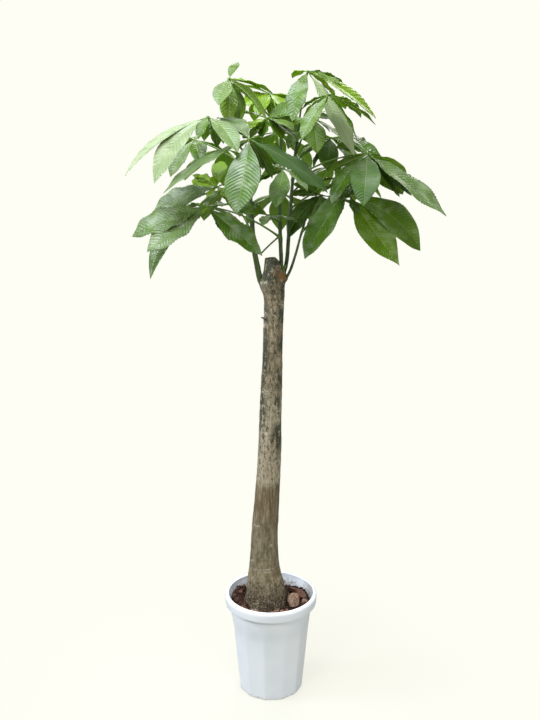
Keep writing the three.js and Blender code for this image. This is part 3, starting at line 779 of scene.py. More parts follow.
@dataclass(frozen=True)
class PottingMix:
    """Damp peat and coir: nearly black hollows, red-brown fibres, no shine."""

    hollow: str = "#1b110c"
    peat: str = "#33231b"
    coir: str = "#573b2e"
    dry: str = "#a48b7d"
    flake: str = "#a07a66"

    def make(self) -> Material:
        """Builds the material for the mass and its crumbs, whose tone a mark varies.

        Returns:
            The material.
        """
        f = Finish("damp_potting_mix", self.hollow, "tone")
        f.lay(self.peat, f.blotches(6, 6, (0.36, 0.6)))
        f.lay(self.coir, f.add(RANGE, f.marks["tone"], 0.3, 0.95, **SMOOTH))
        f.lay(self.coir, f.blotches(3, 4, (0.6, 0.74), swirl=2.5), 0.7)
        f.lay(self.dry, f.blotches(1.8, 3, (0.6, 0.7, 0, 0.85)))
        f.lay(self.flake, f.add(RANGE, f.marks["tone"], 1.1, 1.3, **SMOOTH))
        return f.close(0.94, 1.4, [(f.blotches(1.4, 6), 1.2, 0.9)], Specular_IOR_Level=0.3)


@dataclass(frozen=True)
class BrokenPineBark:
    """Pine bark chips: layered cork, pink-tan where it split and red-brown outside."""

    outer: str = "#502f25"
    inner: str = "#a8907d"
    layer: str = "#6f4c3d"
    lichen: str = "#77704f"
    layer_mm: float = 1.3

    def make(self) -> Material:
        """Builds the material. The marks give each chip's paleness and its layers.

        Returns:
            The material.
        """
        f = Finish("broken_pine_bark", self.outer, "pale", "layer")
        f.lay(self.inner, f.marks["pale"])
        warp = f.add(MATH, f.blotches(5, 3), 2.2, **TIMES)
        strata = f.add(MATH, f.add(MATH, f.marks["layer"], warp, **PLUS), 0.5, **ZIGZAG)
        f.lay(self.layer, f.add(RANGE, strata, 0.3, 0.05, 0, 0.75, **SMOOTH))
        split = f.add(RANGE, f.marks["pale"], 0.6, 0.9, **SMOOTH)
        f.lay(self.lichen, f.blotches(9, 5, (0.52, 0.6, 0, 0.75)), split)
        f.lay(self.outer, f.blotches(3.4, 5, (0.5, 0.62, 0, 0.8)))
        ledges = f.add(MATH, strata, 0.8, **TIMES)
        broken = f.add(MATH, ledges, f.blotches(1.2, 5), **PLUS)
        return f.close(0.86, 1.45, [(broken, 0.9, 0.8)], Specular_IOR_Level=0.35)


@dataclass(frozen=True)
class LivingBark:
    """Money tree bark: thin and grey-brown, finely cracked, with green algae and pale scars."""

    grey: str = "#857e66"
    brown: str = "#5d563f"
    dark: str = "#37342a"
    algae: str = "#323f33"
    tan: str = "#a3937a"
    pale: str = "#b0a78f"
    streak: str = "#625138"
    scar: str = "#c4bda9"
    damp: str = "#342b20"
    wood: str = "#5d5a3c"
    callus: str = "#7a5a38"
    crack_mm: float = 3.2

    def make(self) -> Material:
        """Builds the material. The marks say where scars, algae, streaks, damp and the cut lie.

        Returns:
            The material.
        """
        f = Finish("grey_living_bark", self.brown, "smooth", "pale", "algae", "streaks", "scar",
                   "damp", "cut", "callus")
        m = f.marks
        calm = f.add(RANGE, m["smooth"], 0, 1, 1, 0.3, **SMOOTH)
        f.lay(self.grey, f.blotches(11, 5, (0.36, 0.62), 4))
        f.lay(self.tan, f.blotches(6, 6, (0.48, 0.56, 0, 0.8), 1.8), calm)
        f.lay(self.pale, m["pale"], f.blotches(7, 5, (0.34, 0.58, 0.25, 0.9), 2))
        f.lay(self.algae, f.blotches(9, 6, (0.42, 0.49), 2.2), m["algae"])
        f.lay(self.dark, f.blotches(5, 6, (0.54, 0.6, 0, 0.85), 2), calm)
        f.lay(self.streak, f.blotches(3.4, 4, (0.42, 0.62), 18), m["streaks"])
        f.lay(self.scar, f.blotches(2.6, 4, (0.62, 0.68, 0, 0.75)), calm)
        f.lay(self.scar, m["scar"], f.blotches(4, 5, (0.45, 0.58, 0, 0.85)))
        f.lay(self.damp, m["damp"], 0.88)
        f.lay(self.tan, f.blotches(4, 5, (0.53, 0.61, 0, 0.65)), m["damp"])
        f.lay(self.wood, m["cut"])
        f.lay(self.callus, m["callus"])
        cracks = (f.blotches(self.crack_mm, 5, (0.35, 0.6), 8), 0.9, 0.75)
        grain = (f.blotches(1.5, 5), 0.5, 0.6)
        return f.close(0.82, 1.45, [cracks, grain], Specular_IOR_Level=0.35)


@dataclass(frozen=True)
class StemSkin:
    """Skin of a living green stem: smooth and faintly waxy, brown and corky where it is old."""

    name: str = "green_stem_skin"
    deep: str = "#1b3006"
    fresh: str = "#3d5c18"
    cork: str = "#4b4a35"
    pore: str = "#7f8c55"
    streak_mm: float = 1.6

    def make(self) -> Material:
        """Builds the material. The mark says how corky the stem has grown.

        Returns:
            The material.
        """
        f = Finish(self.name, self.deep, "woody")
        f.lay(self.fresh, f.blotches(self.streak_mm, 3, (0.36, 0.66), 14))
        f.lay(self.cork, f.marks["woody"], f.blotches(7, 4, (0.3, 0.6, 0.45, 1), 4))
        f.lay(self.pore, f.blotches(1.1, 2, (0.68, 0.76, 0, 0.7)))
        ribs = (f.blotches(self.streak_mm, 3, stretch=18), 0.25, 0.5)
        return f.close(0.46, 1.45, [ribs], Subsurface_Weight=0.1, Subsurface_Scale=1.0,
                       Subsurface_Radius=(0.0015, 0.003, 0.0008))


@dataclass(frozen=True)
class LeafSkin:
    """One face of a living leaf: pale midrib and side veins, and lime light shining through.

    The upper face is darker and waxy, so that it takes a grey-green sheen. The lower one is paler
    and duller, with raised veins.
    """

    name: str
    deep: str
    middle: str
    # Grey-green of the painted sheen.
    light: str
    # Lime green for new growth and for a painted glow of light shining through the leaf.
    young_and_backlit: str
    vein: str
    rib: str
    glow: str
    gloss: float
    wax: float
    # Share of the painted grey sheen laid in random patches.
    painted_sheen_patches: float
    vein_share: float
    rib_share: float
    through: float

    def make(self) -> Material:
        """Builds the material. The marks carry the veins, a painted grey sheen above 0 and painted
        shade below 0 for each leaflet, and how lime green it is from new growth and from a painted
        glow of light shining through.

        Returns:
            The material.
        """
        f = Finish(self.name, self.deep, "young_and_backlit", "painted_sheen_and_shade", "vein", "rib")
        youth_and_backlight, painted_sheen_and_shade, rib = f.marks["young_and_backlit"], f.marks["painted_sheen_and_shade"], f.marks["rib"]
        # Above 0 the mark paints a grey sheen and below 0 it paints shade.
        grey = f.add(RANGE, painted_sheen_and_shade, 0, 1, **SMOOTH)
        dark = f.add(RANGE, painted_sheen_and_shade, 0, -1, **SMOOTH)
        f.lay(self.middle, f.blotches(34, 4, (0.36, 0.66)))
        # Painted grey sheen over leaflets whose mark is above 0, and in random patches.
        f.lay(self.light, f.add(MATH, grey, f.blotches(44, 2, (0.47, 0.68, 0, self.painted_sheen_patches)), **PLUS))
        # Lime green, partly new growth and partly a painted glow of light shining through the leaf.
        f.lay(self.young_and_backlit, youth_and_backlight)
        # Painted shade: the deep green over leaflets whose mark is below 0.
        f.lay(self.deep, dark)
        vein = f.add(MATH, f.marks["vein"], 0.5, **ZIGZAG)
        uneven = f.blotches(30, 3, (0.36, 0.6, 0.08, 1))
        # Painted shade in the creases along the side veins, fainter near the midrib and on lime
        # leaflets.
        f.lay(self.deep, f.add(RANGE, vein, 0.26, 0.03, 0, 0.26, **SMOOTH), uneven,
              f.add(RANGE, rib, 3, 16, 0.25, 1, **SMOOTH),
              f.add(RANGE, youth_and_backlight, 0.3, 0.9, 1, 0.3, **SMOOTH))
        f.lay(self.vein, f.add(RANGE, vein, 0.06, 0.02, 0, self.vein_share, **SMOOTH), uneven)
        f.lay(self.vein, f.blotches(2.4, 2, (0.56, 0.66, 0, 0.12)))
        f.lay(self.rib, f.add(RANGE, rib, 1.5, 0.5, 0, self.rib_share, **SMOOTH))
        pillow = f.add(MATH, f.add(RANGE, vein, 0, 0.42, **SMOOTH),
                       f.blotches(36, 2, (0.38, 0.57, 0.2, 1.15)), **TIMES)
        grain = f.add(MATH, f.blotches(2.2, 3), 0.1, **TIMES)
        quilt = (f.add(MATH, pillow, grain, **PLUS), 0.9, 0.6)
        sheen = f.add(MATH, f.blotches(22, 3, (0.3, 0.7, -0.06, 0.08)), self.gloss, **PLUS)
        dull = f.add(MATH, sheen, f.add(MATH, dark, 0.4, **TIMES), **PLUS)
        face = f.colour
        # The light that shines through has two more layers, which the face goes without.
        f.lay(self.glow, f.add(RANGE, youth_and_backlight, 0, 1, 0.7, 0.95, **SMOOTH))
        # The painted grey sheen lies on the light that shines through as well.
        f.lay(self.light, grey)
        lit, f.colour = f.colour, face
        return f.close(dull, 1.5, [quilt], (self.through, lit), Specular_IOR_Level=self.wax,
                       Specular_Tint=(0.93, 0.98, 1, 1))


UPPER_LEAF = LeafSkin(
    name="leaf_upper_face", deep="#2c4b08", middle="#456b10", light="#b8c1aa", young_and_backlit="#86a90e",
    vein="#76914a", rib="#8da35c", glow="#9cc000", gloss=0.35, wax=0.5, painted_sheen_patches=0.34,
    vein_share=0.12, rib_share=0.6, through=0.38)
LOWER_LEAF = LeafSkin(
    name="leaf_lower_face", deep="#466618", middle="#608225", light="#a3b28a", young_and_backlit="#93b41c",
    vein="#98b068", rib="#b3c187", glow="#a4c808", gloss=0.62, wax=0.3, painted_sheen_patches=0.2,
    vein_share=0.5, rib_share=0.9, through=0.34)
PETIOLE = StemSkin("petiole_skin", "#33500f", "#678a2c", "#5d6a35")
FRESH_CUT = StemSkin("fresh_cut_stalk", "#86a53c", "#c3d56a", "#b5b878")


# ----- Pot -----


@dataclass
class Pot:
    """The moulded pot: round at the collar, fluted into twelve soft facets lower down."""

    height: float = 270
    rim_radius: float = 120
    mouth_radius: float = 109.5
    collar_height: float = 27
    collar_wall: float = 3
    groove_top: float = 9
    draft: float = 1.5
    neck_radius: float = 106
    foot_radius: float = 84
    wall: float = 3
    wall_rows: int = 44
    facets: int = 12
    facet_edge: float = 20
    facet_full: float = 170
    facet_none: float = 215
    edge_round: float = 0.0075
    edge_soft: float = 0.004
    drain_holes: int = 6
    drain_radius: float = 6
    drain_circle: float = 52
    columns_per_facet: int = 20

    def body_radius(self, z: float) -> float:
        """Outside radius of the body at a height, before its facets."""
        return lerp(self.foot_radius, self.neck_radius, z / (self.height - self.collar_height))

    def facet_factor(self, angle: float, z: float) -> float:
        """How far the round section is drawn in at an angle from the front.

        Args:
            angle: Degrees from the front.
            z: The height in millimetres.

        Returns:
            A factor of the radius, eased over the facets' edges.
        """
        width = 360 / self.facets
        across = (angle - self.facet_edge) % width - width / 2
        flat = math.cos(math.radians(width / 2)) / math.cos(math.radians(across))
        cap = 1 - self.edge_round
        share = clamp(0.5 + 0.5 * (cap - flat) / self.edge_soft)
        eased = lerp(cap, flat, share) - self.edge_soft * share * (1 - share)
        return lerp(eased, 1.0, smoothstep(z, self.facet_full, self.facet_none))

    def profile(self) -> list[Point]:
        """Half the pot's section, from the axis below to the axis above the floor.

        Returns:
            Radius, height and how dusty the wall is at each point.
        """
        top, rim, mouth, foot = self.height, self.rim_radius, self.mouth_radius, self.foot_radius
        neck, groove, floor = top - self.collar_height, top - self.groove_top, self.wall + 1
        collar = rim - self.draft
        inside = rim - self.collar_wall - self.draft
        steps = self.wall_rows
        underside = [(0, 0, 0), (30, 0, 0), (70, 0, 0), (foot - 4, 0, 0.2), (foot - 2.5, 0, 0.4),
                     (foot - 1.2, 0.5, 0.5), (foot - 0.2, 1.5, 0.5), (self.body_radius(3), 3, 0.4)]
        outer = [lerp(3, neck, i / steps) for i in range(1, steps + 1)]
        under_collar = [
            (107, neck + 5, 0.3), (107.6, neck + 8, 0.3), (110, groove - 2, 0.3),
            (inside - 3, groove + 1, 0.3), (inside, groove, 0.3), (inside - 0.6, neck + 9, 0.2),
            (inside - 1, neck + 0.9, 0), (inside - 0.6, neck + 0.2, 0), (inside, neck, 0)]
        round_collar = [
            (collar - 0.8, neck, 0), (collar - 0.2, neck + 0.3, 0), (collar, neck + 1, 0),
            (rim - 1.0, neck + 7, 0), (rim - 0.35, neck + 13, 0), (rim - 0.05, groove - 1.2, 0),
            (rim, groove, 0), (rim, groove + 2.4, 0), (rim - 0.3, groove + 4.2, 0),
            (rim - 0.8, groove + 5.5, 0), (rim - 1.9, groove + 7.2, 0), (rim - 3.5, groove + 8.5, 0),
            (rim - 4.8, groove + 8.9, 0), (rim - 6, top, 0), (mouth + 2.6, top, 0),
            (mouth + 1.2, top - 0.4, 0), (mouth + 0.3, top - 1.1, 0), (mouth, top - 2, 0.1),
            (mouth - 0.7, top - 6, 0.15), (mouth - self.draft, top - 10, 0.2), (106, top - 15, 0.45),
            (104.9, neck + 8, 0.8), (104.2, neck + 5, 1), (103.2, neck + 1, 1)]
        inner = [lerp(neck, self.wall + 2, i / steps) for i in range(steps + 1)]
        return [
            *underside,
            *((self.body_radius(z), z, 0.25 * smoothstep(-z, -16, -3)) for z in outer),
            *under_collar, *round_collar,
            *((self.body_radius(z) - self.wall, z, 1) for z in inner),
            (self.body_radius(3) - self.wall - 2, floor, 1), (60, floor, 1), (30, floor, 1),
            (0, floor, 1)]

    def build(self, finish: Material) -> None:
        """Turns the section about the axis, flutes it and drills the drain holes.

        Args:
            finish: The pot's plastic.
        """
        outline = self.profile()
        rows = len(outline) - 1

        def place(u: float, v: float) -> Vector:
            """A point of the wall."""
            radius, z, _ = outline[round(v * rows)]
            angle = self.facet_edge + 360 * u
            radius *= self.facet_factor(angle, z)
            turn = math.radians(angle)
            return Vector((radius * math.sin(turn), -radius * math.cos(turn), z))

        body = wrapped(self.facets * self.columns_per_facet, rows, place,
                       {"dust": lambda u, v: outline[round(v * rows)][2]})
        pot = settle("fluted_pot", body, [finish], sharp=50)
        drill = bmesh.new()
        for i in range(self.drain_holes):
            angle = 2 * math.pi * i / self.drain_holes
            spot = Vector((math.cos(angle), math.sin(angle), 0)) * self.drain_circle * MM
            bmesh.ops.create_cone(
                drill, cap_ends=True, segments=24, radius1=self.drain_radius * MM,
                radius2=self.drain_radius * MM, depth=self.wall * 8 * MM,
                matrix=Matrix.Translation(spot))
        cutter = settle("drill", drill, [finish])
        cut = pot.modifiers.new("drain", "BOOLEAN")
        cut.operation, cut.solver, cut.object = "DIFFERENCE", "EXACT", cutter
        bpy.context.view_layer.update()
        graph = bpy.context.evaluated_depsgraph_get()
        drilled = bpy.data.meshes.new_from_object(pot.evaluated_get(graph))
        pot.modifiers.clear()
        pot.data = drilled
        bpy.data.objects.remove(cutter)
        register(pot, Slot.POT, "pot")


# ----- Soil and bark chips -----


@dataclass
class Soil:
    """The potting mix: a lumpy mass heaped at the sides, with loose crumbs and fibres on it."""

    pot: Pot
    level: float = 240
    heap: float = 13
    heap_centre: float = -8
    heap_inner: float = 45
    heap_outer: float = 100
    right_share: float = 0.5
    bump: float = 2.2
    fit_gap: float = 0.3
    facet_slack: float = 1.4
    slack_from: float = 100
    slack_to: float = 232
    ground: float = 2.5
    lump_coarse: Row = (1.8, 14)
    lump_fine: Row = (1.2, 5)
    columns: int = 200
    top_rows: int = 52
    side_rows: int = 10
    floor_rows: int = 4
    trunk_x: float = -13
    trunk_room: float = 57
    crumbs: int = 1700
    crumb_least: float = 1.2
    crumb_spread: float = 3.4
    crumb_long: Row = (0.8, 1.5)
    crumb_flat: Row = (0.5, 0.9)
    crumb_lift: float = 0.3
    crumb_reach: float = 99
    heaped: int = 380
    heap_bearings: Row = (2.4, 4.0)
    heap_reach: float = 102
    heap_shares: Row = (0.76, 0.97)
    heap_rise: Row = (0, 11)
    heap_edge: Row = (74, 98)
    heap_crumb: float = 1.25
    fibres: int = 210
    fibre_length: Row = (7, 20)
    fibre_radius: Row = (0.3, 0.65)
    fibre_curl: Row = (-0.7, 0.7)
    fibre_lift: float = 1.6
    fibre_bow: float = 2.2
    fibre_reach: float = 94
    flakes: int = 26
    flake_size: Row = (2.6, 4.6)
    flake_bearings: Row = (-165, -15)
    flake_reach: Row = (61, 82)
    flake_lift: Row = (2, 6)
    flake_shape: Row = (1.5, 1, 0.45, 1)
    flake_tone: float = 1.4
    breakage: float = 0.16
    seed: int = 7

    def top(self, x: float, y: float) -> float:
        """Height of the soil's uneven top, as the part has it.

        Args:
            x: The place from the axis, to the right.
            y: The same, to the back.

        Returns:
            The height in millimetres.
        """
        out = smoothstep(abs(x - self.heap_centre), self.heap_inner, self.heap_outer)
        heap = self.heap * out * (1 if x < 0 else self.right_share)
        bumps = math.sin(x / 9 + 1) * math.cos(y / 11) + 0.6 * math.sin((x + 2 * y) / 13)
        return self.level + heap + self.bump * bumps

    def lumps(self, x: float, y: float) -> float:
        """The finer lumps that the part leaves out."""
        spot = Vector((x, y, 0))
        (high, wide), (fine_high, fine_wide) = self.lump_coarse, self.lump_fine
        return high * rough(spot, wide, 4) + fine_high * abs(rough(spot, fine_wide, 3))

    def wall_radius(self, z: float) -> float:
        """Outside radius of the soil at a height."""
        slack = self.facet_slack if self.slack_from < z < self.slack_to else 0.0
        return self.pot.body_radius(z) - self.pot.wall - self.fit_gap - slack

    def build(self, finish: Material) -> None:
        """Builds the mass, the crumbs and the fibres.

        Args:
            finish: The potting mix.
        """
        rows = self.top_rows + self.side_rows + self.floor_rows
        edge = self.wall_radius(self.level)

        def place(u: float, v: float) -> Vector:
            """A point of the mass: its top from the axis out, then its side and its floor."""
            row = round(v * rows)
            angle = self.pot.facet_edge + 360 * u
            turn = math.radians(angle)
            across = Vector((math.sin(turn), -math.cos(turn), 0))
            if row <= self.top_rows:
                spot = across * edge * (row / self.top_rows)
                fade = 1 - smoothstep(row / self.top_rows, 0.9, 1)
                rise = (self.lumps(spot.x, spot.y) + self.ground) * fade - self.ground
                spot.z = self.top(spot.x, spot.y) + rise
                return spot
            low = self.pot.wall + 1 + self.fit_gap
            share = min((row - self.top_rows) / self.side_rows, 1.0)
            rim = across * edge
            z = lerp(self.top(rim.x, rim.y) - 3, low, share)
            radius = self.wall_radius(z) * self.pot.facet_factor(angle, z)
            radius *= 1 - max(0, row - self.top_rows - self.side_rows) / self.floor_rows
            return across * radius + Vector((0, 0, z))

        tone = {"tone": lambda u, v: chance(round(u * 60) + round(v * 40) * 61) * 0.4}
        mass = wrapped(self.columns, rows, place, tone)
        register(settle("potting_mix", mass, [finish]), Slot.SOIL, "soil")
        draw = random.Random(self.seed)
        register(settle("soil_crumbs", self.scatter(draw), [finish]), Slot.SOIL)
        register(settle("coir_fibres", self.strands(draw), [finish]), Slot.SOIL)

    def spot(self, draw: random.Random, reach: float) -> Vector:
        """A place on the soil's top, off the trunk.

        Args:
            draw: The source of chance.
            reach: How far from the axis the place may be.

        Returns:
            The place in millimetres.
        """
        while True:
            x, y = draw.uniform(-reach, reach), draw.uniform(-reach, reach)
            if math.hypot(x, y) < reach and math.hypot(x - self.trunk_x, y) > self.trunk_room:
                return Vector((x, y, self.top(x, y) + self.lumps(x, y)))

    def lump(self, bm: Mesh, spot: Vector, size: float, shape: Matrix) -> list[bmesh.types.BMVert]:
        """Adds one lump to the crumbs.

        Args:
            bm: The crumbs.
            spot: The middle of the lump.
            size: Its radius in millimetres.
            shape: How it is turned and stretched.

        Returns:
            Its vertices.
        """
        return bmesh.ops.create_icosphere(
            bm, subdivisions=1, radius=size * MM, matrix=Matrix.Translation(spot * MM) @ shape)["verts"]

    def scatter(self, draw: random.Random) -> Mesh:
        """Loose crumbs, each a small broken lump with a tone of its own, and flakes of bark.

        Args:
            draw: The source of chance.

        Returns:
            All of them in one mesh.
        """
        bm = bmesh.new()
        layer = bm.verts.layers.float.new("tone")

        def shatter(verts: list[bmesh.types.BMVert], size: float, tone: float) -> None:
            """Shakes a lump's corners and gives it its tone."""
            for vert in verts:
                vert[layer] = tone
                vert.co += Vector([draw.uniform(-1, 1) for _ in range(3)]) * size * self.breakage * MM

        for number in range(self.crumbs):
            size = self.crumb_least + self.crumb_spread * draw.random() ** 3
            spot = self.spot(draw, self.crumb_reach)
            if number < self.heaped:
                bearing = draw.uniform(*self.heap_bearings)
                out = draw.uniform(*self.heap_shares) * self.heap_reach
                spot = Vector((out * math.cos(bearing), out * math.sin(bearing), 0))
                rise = draw.uniform(*self.heap_rise) * smoothstep(out, *self.heap_edge)
                spot.z = self.top(spot.x, spot.y) + rise
                size *= self.heap_crumb
            longer, flatter = draw.uniform(*self.crumb_long), draw.uniform(*self.crumb_flat)
            shape = tumbled(draw, 1) @ Matrix.Diagonal((longer, 1, flatter, 1))
            verts = self.lump(bm, spot + Vector((0, 0, size * self.crumb_lift)), size, shape)
            shatter(verts, size, draw.random())
        for _ in range(self.flakes):
            bearing = math.radians(draw.uniform(*self.flake_bearings))
            out = draw.uniform(*self.flake_reach)
            spot = Vector((out * math.cos(bearing) + self.trunk_x, out * math.sin(bearing), 0))
            spot.z = self.top(spot.x, spot.y) + draw.uniform(*self.flake_lift)
            tilt = tumbled(draw, 0.6)
            size = draw.uniform(*self.flake_size)
            verts = self.lump(bm, spot, size, tilt @ Matrix.Diagonal(self.flake_shape))
            shatter(verts, size, self.flake_tone)
        bmesh.ops.recalc_face_normals(bm, faces=bm.faces)
        return bm

    def strands(self, draw: random.Random) -> Mesh:
        """Short curled coir fibres that lie on the soil.

        Args:
            draw: The source of chance.

        Returns:
            All the fibres in one mesh.
        """
        parts = []
        for _ in range(self.fibres):
            start = self.spot(draw, self.fibre_reach)
            heading = draw.uniform(0, 2 * math.pi)
            length = draw.uniform(*self.fibre_length)
            points = []
            for i in range(4):
                heading += draw.uniform(*self.fibre_curl)
                step = Vector((math.cos(heading), math.sin(heading), 0)) * length * i / 4
                spot = start + step
                lift = self.fibre_lift + self.fibre_bow * draw.random() * (i in (1, 2))
                points.append((spot.x, spot.y, self.top(spot.x, spot.y) + lift))
            thick = draw.uniform(*self.fibre_radius)
            hair = tube(Spline(points, True), lambda s, r=thick: r * (1 - 0.5 * s), 5, 9)
            parts.append((hair, Skin.FIRST))
        return paint(gather(parts), "tone", lambda spot: 1.0)


@dataclass
class BarkChip:
    """One angular chip of bark, with the part's trimmed block under its broken faces."""

    soil: Soil
    index: int
    corner_trim: float = 0.62
    corner_vary: float = 0.2
    side_trim: float = 0.86
    side_vary: float = 0.14
    bulge: float = 0.12
    lift: float = 0.2
    stand: float = 0.35
    cuts: int = 9
    ledges: float = 2.5
    ledge_pull: float = 0.07
    side_shake: float = 0.7
    face_shake: float = 0.55

    def corner(self, a: int, b: int, c: int) -> Vector:
        """A point of the part's block.

        Args:
            a: -1, 0 or 1 along the chip.
            b: The same across it.
            c: -1 or 1, below or above.

        Returns:
            The point about the chip's middle, in millimetres.
        """
        _, _, length, width, thickness, *_ = BARK_CHIPS[self.index]
        key = self.index * 31 + a * 7 + b * 3 + c
        at_corner = a != 0 and b != 0
        least = self.corner_trim if at_corner else self.side_trim
        vary = self.corner_vary if at_corner else self.side_vary
        trim = least + vary * chance(key)
        rise = self.bulge * thickness * (chance(key + 5) - 0.5)
        return Vector((a * length / 2 * trim, b * width / 2 * trim, c * thickness / 2 + rise))

    def across(self, a: float, b: float, side: int) -> Vector:
        """A point of the block's upper or lower face, between its nine points.

        Args:
            a: From -1 to 1 along the chip.
            b: The same across it.
            side: -1 or 1, below or above.

        Returns:
            The point about the chip's middle, in millimetres.
        """
        ends = []
        for edge in (-1, 0) if a < 0 else (0, 1):
            near, far = (-1, 0) if b < 0 else (0, 1)
            ends.append(self.corner(edge, near, side).lerp(self.corner(edge, far, side), b - near))
        return ends[0].lerp(ends[1], a + 1 if a < 0 else a)

    def build(self, finish: Material) -> None:
        """Refines the block, breaks its faces and lays it on the soil.

        Args:
            finish: The bark.
        """
        x, y, _, width, thickness, turn, tilt, pale = BARK_CHIPS[self.index]
        bm = bmesh.new()
        bmesh.ops.create_cube(bm, size=2)
        bmesh.ops.subdivide_edges(bm, edges=bm.edges, cuts=self.cuts, use_grid_fill=True)
        layer = bm.verts.layers.float.new("layer")
        paleness = bm.verts.layers.float.new("pale")
        pose = Matrix.Rotation(math.radians(turn), 3, "Z") @ Matrix.Rotation(math.radians(tilt), 3, "X")
        standing = self.stand * width * abs(math.sin(math.radians(tilt)))
        centre = Vector((x, y, self.soil.top(x, y) + self.lift * thickness + standing))
        for vert in bm.verts:
            a, b, c = vert.co
            low = [self.across(a, b, side) for side in (-1, 1)]
            spot = low[0].lerp(low[1], (c + 1) / 2)
            seedy = spot + Vector((self.index * 40.0, 0, 0))
            ledge = math.floor(c * self.ledges + 0.9 * rough(seedy, 16, 2)) / self.ledges
            outline = max(abs(a), abs(b))
            pull = 1 - self.ledge_pull * chance(self.index + ledge * 13.7) * smoothstep(outline, 0.5, 1)
            spot = Vector((spot.x * pull, spot.y * pull, spot.z))
            flat = 1 - smoothstep(abs(c), 0.7, 1) * 0.5
            shake = Vector((rough(seedy, 5), rough(seedy + Vector((9, 9, 9)), 5), 0))
            shake *= self.side_shake * flat
            shake.z = self.face_shake * rough(seedy + Vector((3, 17, 5)), 7, 4)
            vert[layer] = (spot.z + shake.z) / BrokenPineBark.layer_mm
            vert[paleness] = clamp(pale + 0.25 * rough(seedy, 9))
            vert.co = (centre + pose @ (spot + shake)) * MM
        bmesh.ops.recalc_face_normals(bm, faces=bm.faces)
        name = f"bark_chip_{self.index + 1}"
        register(settle(f"broken_{name}", bm, [finish]), Slot.CHIP, name)


# ----- Trunk -----


